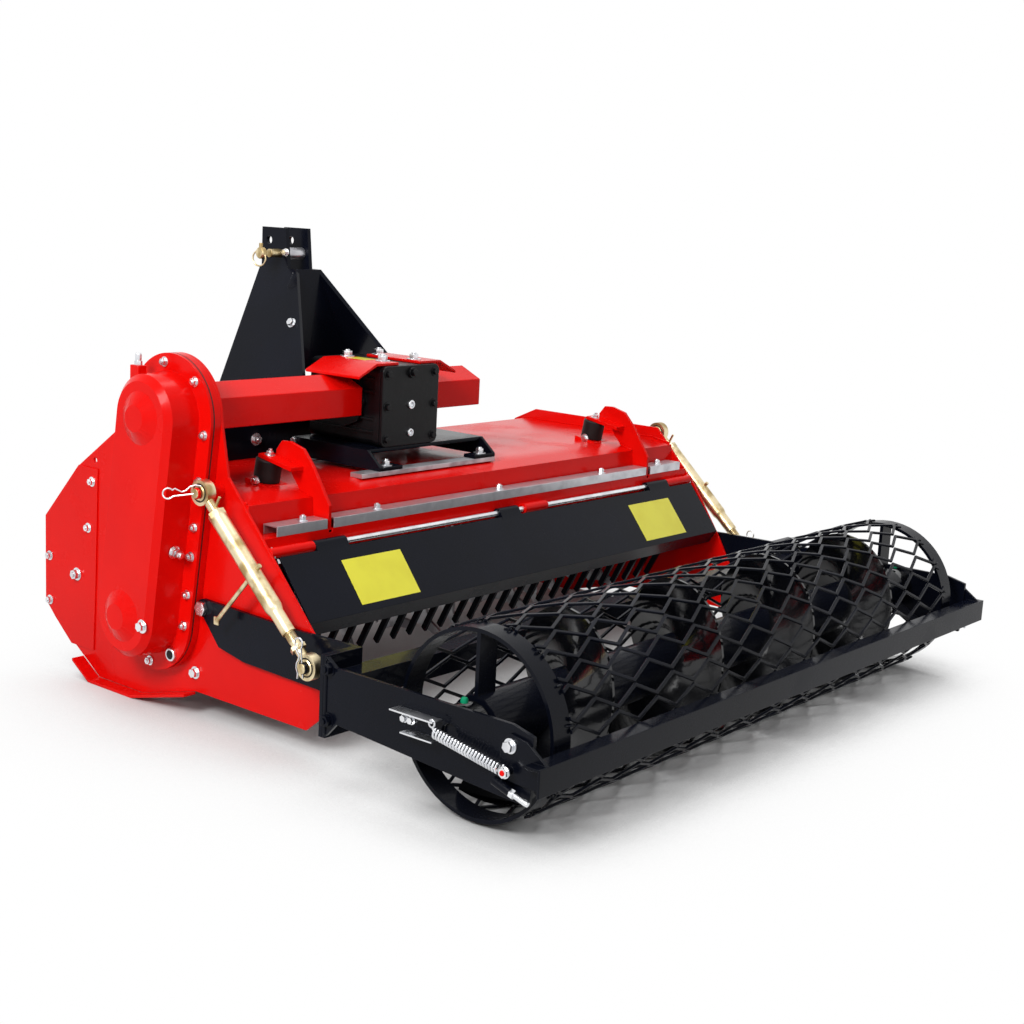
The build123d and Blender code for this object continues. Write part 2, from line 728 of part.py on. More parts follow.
# Cage roller
hub_radius = 52.0
stub_radius = 17.5
ring_width = 45.0
ring_wall = 7.0
mesh_wall = 5.0
ring_radius = roller_radius - mesh_wall - touch - 1.5
ring_places = (-roller_length / 2, roller_length / 2 - ring_width)
with BuildPart() as cage_rings:
    for x in ring_places:
        with BuildSketch(Plane.YZ.offset(x)):
            with Locations((roller_y, roller_z)):
                Circle(ring_radius)
                Circle(ring_radius - ring_wall, mode=Mode.SUBTRACT)
                with PolarLocations(ring_radius / 2, 3, start_angle=90):
                    Rectangle(ring_radius, 8)
                Circle(hub_radius)
        extrude(amount=ring_width)
    with Locations(Pos(0, roller_y, roller_z) * Rot(0, 90, 0)):
        Cylinder(hub_radius, roller_length)
        Cylinder(stub_radius, 2 * (arm_x - frame_plate / 2 - touch))
save(cage_rings, "cage_rings")

flight_pitch = 347.0
flight_wall = 6.0
flight_step = 30.0     # degrees from one section of the flight to the next
flight_phase = 296.0   # angle of its first section, from +Y toward +Z
flight_end_gap = 6.0
flight_start = -roller_length / 2 + ring_width + flight_end_gap
flight_end = -flight_start
flight_outer = ring_radius - ring_wall - touch
flight_inner = hub_radius + touch
flight_sections = int((flight_end - flight_start) / (flight_pitch * flight_step / 360)) + 1
with BuildPart() as cage_auger:
    for index in range(flight_sections):
        turn = radians(flight_phase - index * flight_step)
        middle = (flight_inner + flight_outer) / 2
        spot = (
            flight_start + index * flight_pitch * flight_step / 360,
            roller_y + middle * cos(turn),
            roller_z + middle * sin(turn),
        )
        along = (flight_pitch / (2 * pi), middle * sin(turn), -middle * cos(turn))
        with BuildSketch(Plane(origin=spot, x_dir=(0, cos(turn), sin(turn)), z_dir=along)):
            Rectangle(flight_outer - flight_inner, flight_wall)
    loft()
save(cage_auger, "cage_auger")

diamond_pitch = 116.0
mesh_columns = 2 * round(roller_length / diamond_pitch)
mesh_bands = 32
strand = 6.0
half_pitch = roller_length / mesh_columns
band_angle = 360 / mesh_bands
band_radius = (roller_radius - mesh_wall) * cos(radians(band_angle / 2))
band_width = 2 * (roller_radius - mesh_wall) * sin(radians(band_angle / 2)) - touch
lean = strand / 2 * hypot(half_pitch, band_width) / half_pitch
swing = band_width / 2 - lean


def band_plane(band):
    """Return the flat plane of one band round the roller."""
    turn = radians((band + 0.5) * band_angle)
    return Plane(
        origin=(-roller_length / 2, roller_y + band_radius * cos(turn), roller_z + band_radius * sin(turn)),
        x_dir=(1, 0, 0),
        z_dir=(0, cos(turn), sin(turn)),
    )


with BuildPart() as cage_mesh:
    for first in (0, 1):
        middle = [
            (column * half_pitch, swing * (-1) ** (column + first)) for column in range(mesh_columns + 1)
        ]
        with BuildSketch(*[band_plane(band) for band in range(first, mesh_bands, 2)]):
            outline([(x, y - lean) for x, y in middle] + [(x, y + lean) for x, y in reversed(middle)])
        extrude(amount=mesh_wall)
save(cage_mesh, "cage_mesh")

# Turnbuckles from the side plates down to the pivot arms
link_x = half_width + 41
upper_y = 165.0
upper_z = 467.0
lower_y = -138.0
lower_z = 192.0
eye_radius = 25.0
eye_width = 20.0
link_pin_radius = 9.5
tube_radius = 17.0
tube_neck = 13.5       # the tube is drawn in at its lower end
neck_run = 58.0
screw_radius = 9.5
nut_radius = 18.0
nut_thick = 12.0
link_run = hypot(upper_y - lower_y, upper_z - lower_z)
link_dir = Vector(0, lower_y - upper_y, lower_z - upper_z).normalized()
tube_start = 62.0
tube_end = link_run - 76.0
tommy_place = 196.0
tommy_radius = 4.5
tommy_up = 26.0
tommy_down = 150.0
link_travel = 30.0     # room for the screw to go in

for side, name in ((-1, "left"), (1, "right")):
    x = side * link_x
    axis = Plane(origin=(x, upper_y, upper_z), x_dir=(1, 0, 0), z_dir=link_dir)
    with BuildPart() as tube:
        with BuildSketch(axis.offset(tube_start)):
            Circle(tube_radius)
        extrude(amount=tube_end - neck_run - tube_start)
        with BuildSketch(axis.offset(tube_end - neck_run)):
            Circle(tube_radius)
        with BuildSketch(axis.offset(tube_end - neck_run + 12)):
            Circle(tube_neck)
        loft()
        with BuildSketch(axis.offset(tube_end - neck_run + 12)):
            Circle(tube_neck)
        extrude(amount=neck_run - 12)
        with BuildSketch(axis.offset(tube_start - nut_thick)):
            RegularPolygon(nut_radius, 6)
        extrude(amount=nut_thick)
        with BuildSketch(axis.offset(eye_radius - 6)):
            Circle(screw_radius)
        extrude(amount=tube_start - eye_radius + 8)
        with Locations(Pos(x, upper_y, upper_z) * Rot(0, 90, 0)):
            Cylinder(eye_radius, eye_width)
            Cylinder(link_pin_radius + run_gap, eye_width + 2, mode=Mode.SUBTRACT)
        with BuildSketch(Plane(
            origin=(x, upper_y + link_dir.Y * tommy_place, upper_z + link_dir.Z * tommy_place),
            x_dir=(1, 0, 0), z_dir=(0, -link_dir.Z, link_dir.Y),
        ).offset(-tommy_up)):
            Circle(tommy_radius)
        extrude(amount=tommy_up + tommy_down)
        with BuildSketch(axis.offset(tube_end - 90)):
            Circle(screw_radius + run_gap)
        extrude(amount=92, mode=Mode.SUBTRACT)
    save(tube, f"{name}_turnbuckle_tube")
    with BuildPart() as screw:
        with BuildSketch(axis.offset(tube_end - 50)):
            Circle(screw_radius)
        extrude(amount=link_run - eye_radius + 6 - tube_end + 50)
        with BuildSketch(axis.offset(tube_end + link_travel)):
            RegularPolygon(nut_radius - 2, 6)
        extrude(amount=8)
        with Locations(Pos(x, lower_y, lower_z) * Rot(0, 90, 0)):
            Cylinder(eye_radius, eye_width)
            Cylinder(link_pin_radius + 1.5, eye_width + 2, mode=Mode.SUBTRACT)
    save(screw, f"{name}_turnbuckle_screw")

with BuildPart() as upper_link_pins:
    for side in (-1, 1):
        near = half_width + touch
        boss_end = link_x - eye_width / 2 - 2
        with Locations(Pos(side * (near + boss_end) / 2, upper_y, upper_z) * Rot(0, 90, 0)):
            Cylinder(14, boss_end - near)
        with Locations(Pos(side * (near + link_x + 22) / 2, upper_y, upper_z) * Rot(0, 90, 0)):
            Cylinder(link_pin_radius, link_x + 22 - near)
save(upper_link_pins, "upper_link_pins")

with BuildPart() as lower_link_pins:
    for side in (-1, 1):
        near = pivot_x + frame_plate + touch
        boss_end = link_x - eye_width / 2 - 2
        with Locations(Pos(side * (near + boss_end) / 2, lower_y, lower_z) * Rot(0, 90, 0)):
            Cylinder(17, boss_end - near)
        with Locations(Pos(side * (near + link_x + 22) / 2, lower_y, lower_z) * Rot(0, 90, 0)):
            Cylinder(link_pin_radius, link_x + 22 - near)
save(lower_link_pins, "lower_link_pins")
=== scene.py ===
import json
import logging
import math
from dataclasses import dataclass
from enum import Enum

import bmesh
import bpy
from mathutils import Matrix, Vector


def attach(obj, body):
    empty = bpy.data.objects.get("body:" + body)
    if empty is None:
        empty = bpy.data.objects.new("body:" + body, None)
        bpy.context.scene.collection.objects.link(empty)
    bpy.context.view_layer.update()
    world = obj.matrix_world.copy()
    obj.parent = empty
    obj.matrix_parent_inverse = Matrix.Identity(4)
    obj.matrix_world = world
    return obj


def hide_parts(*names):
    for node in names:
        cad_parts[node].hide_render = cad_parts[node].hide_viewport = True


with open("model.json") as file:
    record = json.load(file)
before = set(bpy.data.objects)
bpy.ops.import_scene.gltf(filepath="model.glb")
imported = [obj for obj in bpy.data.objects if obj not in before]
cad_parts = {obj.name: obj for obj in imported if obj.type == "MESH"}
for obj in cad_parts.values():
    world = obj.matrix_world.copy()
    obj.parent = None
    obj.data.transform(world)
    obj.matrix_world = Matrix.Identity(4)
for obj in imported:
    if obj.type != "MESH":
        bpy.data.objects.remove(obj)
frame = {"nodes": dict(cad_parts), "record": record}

MILLIMETRE = 0.001
FULL_TURN = 2 * math.pi
SHARP = math.radians(35.0)
WHITE = (1.0, 1.0, 1.0, 1.0)
Point = tuple[float, float, float]
log = logging.getLogger("stone burier")


class Value:
    """A number that varies over a surface. An expression on values adds its Math nodes."""

    def __init__(self, tree: "Tree", socket: bpy.types.NodeSocket) -> None:
        """Wrap a socket of a tree."""
        self.tree = tree
        self.socket = socket

    def math(self, operation: str, *others: "Value | float") -> "Value":
        """Return this value joined with others by a Math node.

        Args:
            operation: The Math node's operation.
            others: The values or numbers of its other sockets.

        Returns:
            The node's result.
        """
        made = self.tree.node("ShaderNodeMath", {"operation": operation}, dict(enumerate((self, *others))))
        return Value(self.tree, made.outputs[0])

    def __add__(self, other: "Value | float") -> "Value":
        """Add."""
        return self.math("ADD", other)

    __radd__ = __add__

    def __mul__(self, other: "Value | float") -> "Value":
        """Multiply."""
        return self.math("MULTIPLY", other)

    __rmul__ = __mul__

    def __rsub__(self, other: "Value | float") -> "Value":
        """Subtract this value from a number."""
        return (self * -1.0) + other

    def between(self, low: float, high: float) -> "Value":
        """Return 0 below low, 1 above high, and a smooth rise between them.

        Args:
            low: Where the rise starts.
            high: Where it ends.

        Returns:
            The smooth step.
        """
        sockets = {0: self, 1: low, 2: high, 3: 0.0, 4: 1.0}
        made = self.tree.node("ShaderNodeMapRange", {"interpolation_type": "SMOOTHSTEP"}, sockets)
        return Value(self.tree, made.outputs[0])


class Tree:
    """A tree of nodes in the making."""

    def __init__(self, owner: bpy.types.Material | bpy.types.World) -> None:
        """Clear the tree of a material or a world."""
        owner.use_nodes = True
        self.tree = owner.node_tree
        self.tree.nodes.clear()

    def node(self, kind: str, settings: dict | None = None, sockets: dict | None = None) -> bpy.types.Node:
        """Add a node.

        Args:
            kind: The node's type.
            settings: Its settings, which are set first.
            sockets: The values or links of its sockets.

        Returns:
            The new node.
        """
        made = self.tree.nodes.new(kind)
        for key, setting in (settings or {}).items():
            setattr(made, key, setting)
        for key, value in (sockets or {}).items():
            if isinstance(value, Value):
                value = value.socket
            if isinstance(value, bpy.types.NodeSocket):
                self.tree.links.new(value, made.inputs[key])
            else:
                made.inputs[key].default_value = value
        return made

    def seen(self) -> Value:
        """Return 1 for what is seen straight, in a mirror or through glass, and 0 for what only lights."""
        rays = self.node("ShaderNodeLightPath").outputs
        found = Value(self, rays["Is Camera Ray"])
        for other in ("Is Glossy Ray", "Is Transmission Ray"):
            found = found.math("MAXIMUM", Value(self, rays[other]))
        return found


class Shader(Tree):
    """A material in the making."""

    def __init__(self, name: str) -> None:
        """Start a material with its plain surface shader."""
        self.material = bpy.data.materials.new(name)
        super().__init__(self.material)
        self.surface = self.node("ShaderNodeBsdfPrincipled")
        self.end = self.node("ShaderNodeOutputMaterial", sockets={"Surface": self.surface.outputs[0]})
        self.end.is_active_output = True
        self.place = self.node("ShaderNodeTexCoord").outputs["Object"]

    def noise(self, scale: float, detail: float = 2.0, stretch: Point = (1.0, 1.0, 1.0)) -> Value:
        """Return cloudy noise.

        Args:
            scale: How many clouds there are to a metre.
            detail: How many finer layers it has.
            stretch: How much the pattern is squeezed along each axis.

        Returns:
            The noise, from 0 to 1.
        """
        placed = self.node("ShaderNodeMapping", sockets={"Vector": self.place, "Scale": stretch}).outputs[0]
        made = self.node("ShaderNodeTexNoise", sockets={"Vector": placed, "Scale": scale, "Detail": detail})
        return Value(self, made.outputs[0])

    def blend(self, first: Point, second: Point, share: Value) -> bpy.types.NodeSocket:
        """Return a colour between two colours.

        Args:
            first: The colour where the share is 0.
            second: The colour where it is 1.
            share: How much of the second colour shows.

        Returns:
            The colour's socket.
        """
        sockets = {0: share, 6: (*first, 1.0), 7: (*second, 1.0)}
        return self.node("ShaderNodeMix", {"data_type": "RGBA"}, sockets).outputs[2]

    def feed(self, **sockets: "Value | bpy.types.NodeSocket | float") -> None:
        """Set the surface's sockets, named with underscores."""
        for key, value in sockets.items():
            socket = self.surface.inputs[key.replace("_", " ")]
            if isinstance(value, Value):
                value = value.socket
            if isinstance(value, bpy.types.NodeSocket):
                self.tree.links.new(value, socket)
            else:
                socket.default_value = value

    def bump(self, height: Value, depth: float, strength: float = 1.0) -> None:
        """Raise the surface.

        Args:
            height: The height, from 0 to 1.
            depth: What a height of 1 stands for, in metres.
            strength: How strongly it shows.
        """
        sockets = {"Height": height, "Distance": depth, "Strength": strength}
        self.feed(Normal=self.node("ShaderNodeBump", sockets=sockets).outputs[0])


@dataclass(frozen=True)
class Paint:
    """Sprayed paint with orange peel, a little dust and a few fine rubs."""

    slot: str
    colour: Point
    shade: Point
    gloss: float = 0.22
    coat: float = 0.06
    dust: float = 0.1
    shine: float = 0.08

    def material(self) -> bpy.types.Material:
        """Return the paint."""
        shader = Shader(self.slot)
        cloud = shader.noise(3.0, 4.0)
        specks = shader.noise(420.0, 2.0).between(0.62, 0.72)
        film = shader.noise(9.0, 6.0).between(0.42, 0.75)
        shader.feed(
            Base_Color=shader.blend(self.colour, self.shade, cloud.between(0.35, 0.7)),
            Roughness=self.gloss + film * 0.14 + specks * self.dust,
            Coat_Weight=self.coat,
            Coat_Roughness=0.05,
            Specular_IOR_Level=self.shine,
        )
        peel = shader.noise(230.0, 1.0) + shader.noise(38.0, 2.0) * 2.0
        shader.bump(peel, 0.00012, 0.5)
        return shader.material


@dataclass(frozen=True)
class Plating:
    """Zinc plating, clear or yellow, with cloudy stains and fine scratches."""

    slot: str
    colour: Point
    stain: Point
    roughness: float = 0.3
    metal: float = 1.0
    stained: tuple[float, float] = (0.3, 0.8)

    def material(self) -> bpy.types.Material:
        """Return the plating."""
        shader = Shader(self.slot)
        cloud = shader.noise(28.0, 5.0).between(*self.stained)
        scratches = shader.noise(300.0, 3.0, (1.0, 0.12, 0.12)).between(0.55, 0.75)
        shader.feed(
            Base_Color=shader.blend(self.colour, self.stain, cloud),
            Metallic=self.metal,
            Roughness=self.roughness + cloud * 0.1 + scratches * 0.1,
        )
        shader.bump(scratches + cloud * 0.6, 0.00006, 0.5)
        return shader.material


@dataclass(frozen=True)
class Casting:
    """Painted cast iron with its sandy skin."""

    slot: str
    colour: Point
    shade: Point

    def material(self) -> bpy.types.Material:
        """Return the casting's finish."""
        shader = Shader(self.slot)
        grain = shader.noise(520.0, 3.0)
        cloud = shader.noise(14.0, 4.0).between(0.35, 0.7)
        shader.feed(
            Base_Color=shader.blend(self.colour, self.shade, cloud),
            Roughness=0.3 + grain * 0.2,
            Coat_Weight=0.1,
            Coat_Roughness=0.2,
            Specular_IOR_Level=0.15,
        )
        shader.bump(grain + shader.noise(90.0, 2.0) * 1.5, 0.00035, 0.7)
        return shader.material


@dataclass(frozen=True)
class Steel:
    """Bare steel with mill scale and grey patches."""

    slot: str
    colour: Point
    scale: Point

    def material(self) -> bpy.types.Material:
        """Return the bare steel."""
        shader = Shader(self.slot)
        patches = shader.noise(18.0, 6.0).between(0.4, 0.6)
        grain = shader.noise(260.0, 4.0, (0.1, 1.0, 1.0))
        shader.feed(
            Base_Color=shader.blend(self.colour, self.scale, patches),
            Metallic=0.9 - patches * 0.35,
            Roughness=0.32 + patches * 0.2 + grain * 0.12,
        )
        shader.bump(grain + patches, 0.0001, 0.6)
        return shader.material


@dataclass(frozen=True)
class Rubber:
    """Moulded black rubber with a faint bloom."""

    slot: str
    colour: Point
    bloom: Point

    def material(self) -> bpy.types.Material:
        """Return the rubber."""
        shader = Shader(self.slot)
        cloud = shader.noise(40.0, 5.0).between(0.4, 0.72)
        shader.feed(
            Base_Color=shader.blend(self.colour, self.bloom, cloud),
            Roughness=0.48 + cloud * 0.2,
            Specular_IOR_Level=0.2,
        )
        shader.bump(shader.noise(700.0, 2.0), 0.00008, 0.5)
        return shader.material


@dataclass(frozen=True)
class Sticker:
    """A blank yellow film label."""

    slot: str
    colour: Point
    edge: Point

    def material(self) -> bpy.types.Material:
        """Return the label's film."""
        shader = Shader("yellow_label")
        cloud = shader.noise(16.0, 4.0).between(0.4, 0.75)
        shader.feed(
            Base_Color=shader.blend(self.colour, self.edge, cloud),
            Roughness=0.28 + cloud * 0.12,
            Coat_Weight=0.4,
            Coat_Roughness=0.1,
        )
        shader.bump(shader.noise(60.0, 2.0), 0.00008, 0.4)
        return shader.material


class Finish(Enum):
    """The finishes that the machine's pieces have."""

    RED = Paint("red_paint", (0.80, 0.004, 0.002), (0.71, 0.003, 0.002), 0.2)
    # The navy blue tint in the black and gloss paint colours is a painted reflection: a blue sheen laid into
    # the base colour.
    BLACK = Paint("black_paint", (0.0025, 0.0032, 0.0065), (0.0040, 0.0052, 0.0115), 0.2)
    GLOSS = Paint("black_paint", (0.0018, 0.0020, 0.0030), (0.0032, 0.0036, 0.0052), 0.09, 0.16, 0.03, 0.4)
    CAST = Casting("black_casting", (0.0022, 0.0022, 0.0028), (0.0045, 0.0045, 0.0055))
    GOLD = Plating("yellow_zinc", (0.80, 0.68, 0.44), (0.40, 0.29, 0.13), 0.32, 1.0, (0.42, 0.66))
    ZINC = Plating("bright_zinc", (0.84, 0.85, 0.87), (0.62, 0.63, 0.66), 0.24)
    GALVANISED = Plating("bright_zinc", (0.62, 0.62, 0.65), (0.40, 0.40, 0.43), 0.30, 0.88)
    STEEL = Steel("bare_steel", (0.58, 0.58, 0.60), (0.32, 0.32, 0.34))
    RUBBER = Rubber("black_rubber", (0.006, 0.006, 0.006), (0.012, 0.012, 0.012))
    LABEL = Sticker("red_paint", (0.84, 0.78, 0.02), (0.78, 0.71, 0.02))
    GREEN = Rubber("black_rubber", (0.0, 0.22, 0.10), (0.0, 0.30, 0.14))


MATERIALS = {finish: finish.value.material() for finish in Finish}


class Shaping:
    """A piece in the making, in millimetres."""

    def __init__(self) -> None:
        """Start with nothing."""
        self.bm = bmesh.new()

    def round_off(
        self, verts: list[bmesh.types.BMVert], edge: float, angle: float = 40.0, segments: int = 2,
    ) -> None:
        """Round the sharp edges between some vertices.

        Args:
            verts: The vertices of the shape.
            edge: The width of the rounding.
            angle: The least angle of an edge that is rounded, in degrees.
            segments: The steps of the rounding.
        """
        chosen = set(verts)
        sharp = [
            e for e in {e for v in chosen for e in v.link_edges}
            if len(e.link_faces) == 2 and set(e.verts) <= chosen and e.calc_face_angle() > math.radians(angle)
        ]
        bmesh.ops.bevel(
            self.bm, geom=sharp, offset=edge, offset_type="OFFSET", segments=segments, profile=0.5,
            affect="EDGES", clamp_overlap=True, material=-1,
        )

    def bar(
        self, start: Point, end: Point, radius: float, sides: int = 24, edge: float = 0.0, turn: float = 0.0,
    ) -> None:
        """Add a round or many-sided bar.

        Args:
            start: The middle of its first end.
            end: The middle of its second end.
            radius: Its radius over its corners.
            sides: How many sides it has.
            edge: The rounding of its rims.
            turn: Its turn round its own line, in radians.
        """
        run = Vector(end) - Vector(start)
        place = (
            Matrix.Translation((Vector(start) + Vector(end)) / 2)
            @ run.to_track_quat("Z", "Y").to_matrix().to_4x4()
            @ Matrix.Rotation(turn, 4, "Z")
        )
        made = bmesh.ops.create_cone(
            self.bm, cap_ends=True, cap_tris=False, segments=sides, radius1=radius, radius2=radius,
            depth=run.length, matrix=place,
        )["verts"]
        if edge:
            self.round_off(made, edge)

    def block(self, low: Point, high: Point, edge: float) -> None:
        """Add a block.

        Args:
            low: Its lowest corner.
            high: Its highest corner.
            edge: The rounding of its edges.
        """
        low, high = Vector(low), Vector(high)
        place = Matrix.Translation((low + high) / 2) @ Matrix.Diagonal((*(high - low), 1.0))
        made = bmesh.ops.create_cube(self.bm, size=1.0, matrix=place)["verts"]
        self.round_off(made, edge)

    def plate(self, outline: list[Point], thick: Point, edge: float) -> None:
        """Add a flat plate.

        Args:
            outline: The corners of its first face.
            thick: The step from its first face to its second one.
            edge: The rounding of its edges.
        """
        corners = [self.bm.verts.new(p) for p in outline]
        first = self.bm.faces.new(corners)
        far = bmesh.ops.extrude_face_region(self.bm, geom=[first], use_keep_orig=True)["geom"]
        moved = [g for g in far if isinstance(g, bmesh.types.BMVert)]
        bmesh.ops.translate(self.bm, verts=moved, vec=thick)
        made = corners + moved
        bmesh.ops.recalc_face_normals(self.bm, faces=list({f for v in made for f in v.link_faces}))
        self.round_off(made, edge)

    def turned(self, profile: list[tuple[float, float]], start: Point, along: Point, steps: int = 32) -> None:
        """Add a turned shape.

        Args:
            profile: Its outline, as distance along the axis and radius.
            start: Where the axis starts.
            along: The axis's direction.
            steps: How many steps go round.
        """
        axis = Vector(along).normalized()
        side = axis.orthogonal().normalized()
        verts = [self.bm.verts.new(Vector(start) + axis * run + side * radius) for run, radius in profile]
        edges = [self.bm.edges.new(pair) for pair in zip(verts, verts[1:])]
        bmesh.ops.spin(
            self.bm, geom=verts + edges, cent=start, axis=axis, angle=FULL_TURN, steps=steps, use_merge=True
        )
        seen = set(verts)
        for vert in verts:
            for near in (v for e in vert.link_edges for v in e.verts if v not in seen):
                seen.add(near)
                verts.append(near)
        bmesh.ops.remove_doubles(self.bm, verts=verts, dist=0.001)

    def coil(
        self, start: Point, end: Point, radius: float, section: list[tuple[float, float]], turns: float,
        steps: int = 16, phase: float = 0.0, left_handed: bool = False, side: Point | None = None,
    ) -> None:
        """Wind a section round a line.

        Args:
            start: Where the line starts.
            end: Where it ends.
            radius: How far the section's middle is from the line.
            section: The section's corners, as distance along the line and outwards.
            turns: How many turns there are.
            steps: How many steps a turn has.
            phase: The turn of the section's start, in radians.
            left_handed: Whether it winds the other way.
            side: The direction that the phase is counted from.
        """
        run = Vector(end) - Vector(start)
        axis = run.normalized()
        out = Vector(side) if side else axis.orthogonal().normalized()
        out.rotate(Matrix.Rotation(phase, 3, axis))
        count = round(turns * steps)
        verts = [self.bm.verts.new(Vector(start) + axis * a + out * (radius + b)) for a, b in section]
        first = self.bm.faces.new(verts)
        angle = FULL_TURN * turns * (-1 if left_handed else 1)
        bmesh.ops.spin(
            self.bm, geom=[first], cent=start, axis=axis, dvec=run / count, angle=angle, steps=count
        )

    def bead(self, start: Point, end: Point, radius: float = 2.6, ripple: float = 4.0) -> None:
        """Add a rippled weld bead.

        Args:
            start: Where it starts.
            end: Where it ends.
            radius: Its radius.
            ripple: The length of one ripple.
        """
        run = Vector(end) - Vector(start)
        count = max(2, round(run.length / ripple) * 2)
        place = Matrix.Translation(start) @ run.to_track_quat("Z", "Y").to_matrix().to_4x4()
        ring = bmesh.ops.create_circle(
            self.bm, cap_ends=True, segments=6, radius=radius * 0.6, matrix=place
        )["verts"]
        edges = list({e for v in ring for e in v.link_edges})
        middle = Vector(start)
        step = run / count
        for index in range(count):
            made = bmesh.ops.extrude_edge_only(self.bm, edges=edges)["geom"]
            ring = [g for g in made if isinstance(g, bmesh.types.BMVert)]
            edges = [g for g in made if isinstance(g, bmesh.types.BMEdge)]
            bmesh.ops.translate(self.bm, verts=ring, vec=step)
            middle = middle + step
            wanted = radius * (0.6 if index == count - 1 else 1.0 if index % 2 == 0 else 0.82)
            for v in ring:
                v.co = middle + (v.co - middle).normalized() * wanted
        bmesh.ops.contextual_create(self.bm, geom=edges)

    def wire(self, points: list[Point], radius: float) -> None:
        """Bend a round wire through some points.

        Args:
            points: The points.
            radius: The wire's radius.
        """
        path = [Vector(p) for p in points]
        heading = (path[1] - path[0]).normalized()
        place = Matrix.Translation(path[0]) @ heading.to_track_quat("Z", "Y").to_matrix().to_4x4()
        ring = bmesh.ops.create_circle(
            self.bm, cap_ends=True, segments=8, radius=radius, matrix=place
        )["verts"]
        edges = list({e for v in ring for e in v.link_edges})
        for index in range(1, len(path)):
            made = bmesh.ops.extrude_edge_only(self.bm, edges=edges)["geom"]
            ring = [g for g in made if isinstance(g, bmesh.types.BMVert)]
            edges = [g for g in made if isinstance(g, bmesh.types.BMEdge)]
            bmesh.ops.translate(self.bm, verts=ring, vec=path[index] - path[index - 1])
            if index + 1 < len(path):
                ahead = (path[index + 1] - path[index]).normalized()
                bend = heading.rotation_difference(ahead).to_matrix()
                bmesh.ops.rotate(self.bm, verts=ring, cent=path[index], matrix=bend)
                heading = ahead
        bmesh.ops.contextual_create(self.bm, geom=edges)

    def ring(self, middle: Point, axis: Point, radius: float, wire: float, count: int = 28) -> None:
        """Bend a wire ring.

        Args:
            middle: The ring's middle.
            axis: Its axis.
            radius: Its radius.
            wire: The wire's radius.
            count: How many straight runs it has.
        """
        axis = Vector(axis).normalized()
        arm = axis.orthogonal().normalized() * radius
        turns = [Matrix.Rotation(FULL_TURN * index / count, 3, axis) for index in range(count + 1)]
        self.wire([Vector(middle) + turn @ arm for turn in turns], wire)

    def spring_clip(self, place: Point, along: Point, across: Point, length: float = 58.0) -> None:
        """Add a bent wire clip whose straight leg goes through a pin.

        Args:
            place: The pin's middle.
            along: The direction of its legs, toward its loop.
            across: The side on which its wavy leg lies.
            length: From the pin to the loop's middle.
        """
        u, v = Vector(along).normalized(), Vector(across).normalized()
        loop = [
            (length + 10 * math.cos(a), 6 + 10 * math.sin(a))
            for a in [math.radians(230 + step * 20) for step in range(15)]
        ]
        wavy = [
            (length * 0.74, 14), (length * 0.5, 6), (length * 0.34, 8), (length * 0.2, 14),
            (0, 16), (-10, 13), (-20, 15),
        ]
        flat = [(-18.0, 0.0), (length * 0.8, 0.0)] + loop + wavy
        self.wire([Vector(place) + u * a + v * b for a, b in flat], 1.7)

    def thread(self, start: Point, end: Point, radius: float, pitch: float = 2.5) -> None:
        """Wind a screw thread round a bar.

        Args:
            start: Where the thread starts.
            end: Where it ends.
            radius: The bar's radius.
            pitch: The thread's pitch.
        """
        length = (Vector(end) - Vector(start)).length
        ridge = [(-pitch * 0.42, -0.1), (pitch * 0.42, -0.1), (0.0, pitch * 0.32)]
        self.coil(start, end, radius, ridge, length / pitch, 14)

    def plug(self, place: Point, out: Point, radius: float, high: float) -> None:
        """Add a round plug with a sunk middle.

        Args:
            place: The point of the surface that it sits on.
            out: The direction out of the surface.
            radius: Its radius.
            high: Its height.
        """
        profile = [(0, 1), (0.8, 1), (1, 0.9), (1, 0.62), (0.2, 0.56), (0.2, 0)]
        self.turned([(high * a, radius * b) for a, b in profile], place, out)

    def hex_bolt(
        self, place: Point, out: Point, across: float = 13.0, washer: float = 0.0, stud: float = 0.0,
    ) -> None:
        """Add a hexagon head, with its washer and the stud that stands out of a nut.

        Args:
            place: The point of the surface that it sits on.
            out: The direction out of the surface.
            across: The head's width over its flats.
            washer: The washer's radius, or 0 for none.
            stud: How far a stud stands out of it.
        """
        axis = Vector(out).normalized()
        base = Vector(place)
        if washer:
            self.bar(base, base + axis * 1.8, washer, 24, edge=0.4)
            base = base + axis * 1.8
        top = base + axis * across * 0.56
        turn = math.fmod(abs(base.x * 7.3 + base.y * 3.1 + base.z * 1.7), FULL_TURN)
        self.bar(base, top, across / math.sqrt(3), 6, edge=across * 0.07, turn=turn)
        if stud:
            self.bar(top, top + axis * stud, across * 0.29, 16, edge=0.8)

    def mesh(self, name: str, scale: float = MILLIMETRE) -> bpy.types.Mesh:
        """Return the finished shape as a mesh in metres.

        Args:
            name: The mesh's name.
            scale: What one unit of the shape stands for, in metres.

        Returns:
            The mesh.
        """
        bmesh.ops.scale(self.bm, vec=(scale,) * 3, verts=self.bm.verts)
        mesh = bpy.data.meshes.new(name)
        self.bm.to_mesh(mesh)
        self.bm.free()
        return mesh

    def into(self, name: str, finish: Finish, body: str, *replaced: str) -> None:
        """Finish the piece and put it on its body.

        Args:
            name: The piece's name.
            finish: Its finish.
            body: The body that it rides on.
            replaced: The CAD nodes that it stands for.
        """
        place_piece(self.mesh(name), name, finish, body, *replaced)


def linked(name: str, data: bpy.types.ID | None) -> bpy.types.Object:
    """Return a new object in the scene.

    Args:
        name: Its name.
        data: Its mesh, lamp or camera.

    Returns:
        The object.
    """
    made = bpy.data.objects.new(name, data)
    bpy.context.scene.collection.objects.link(made)
    return made


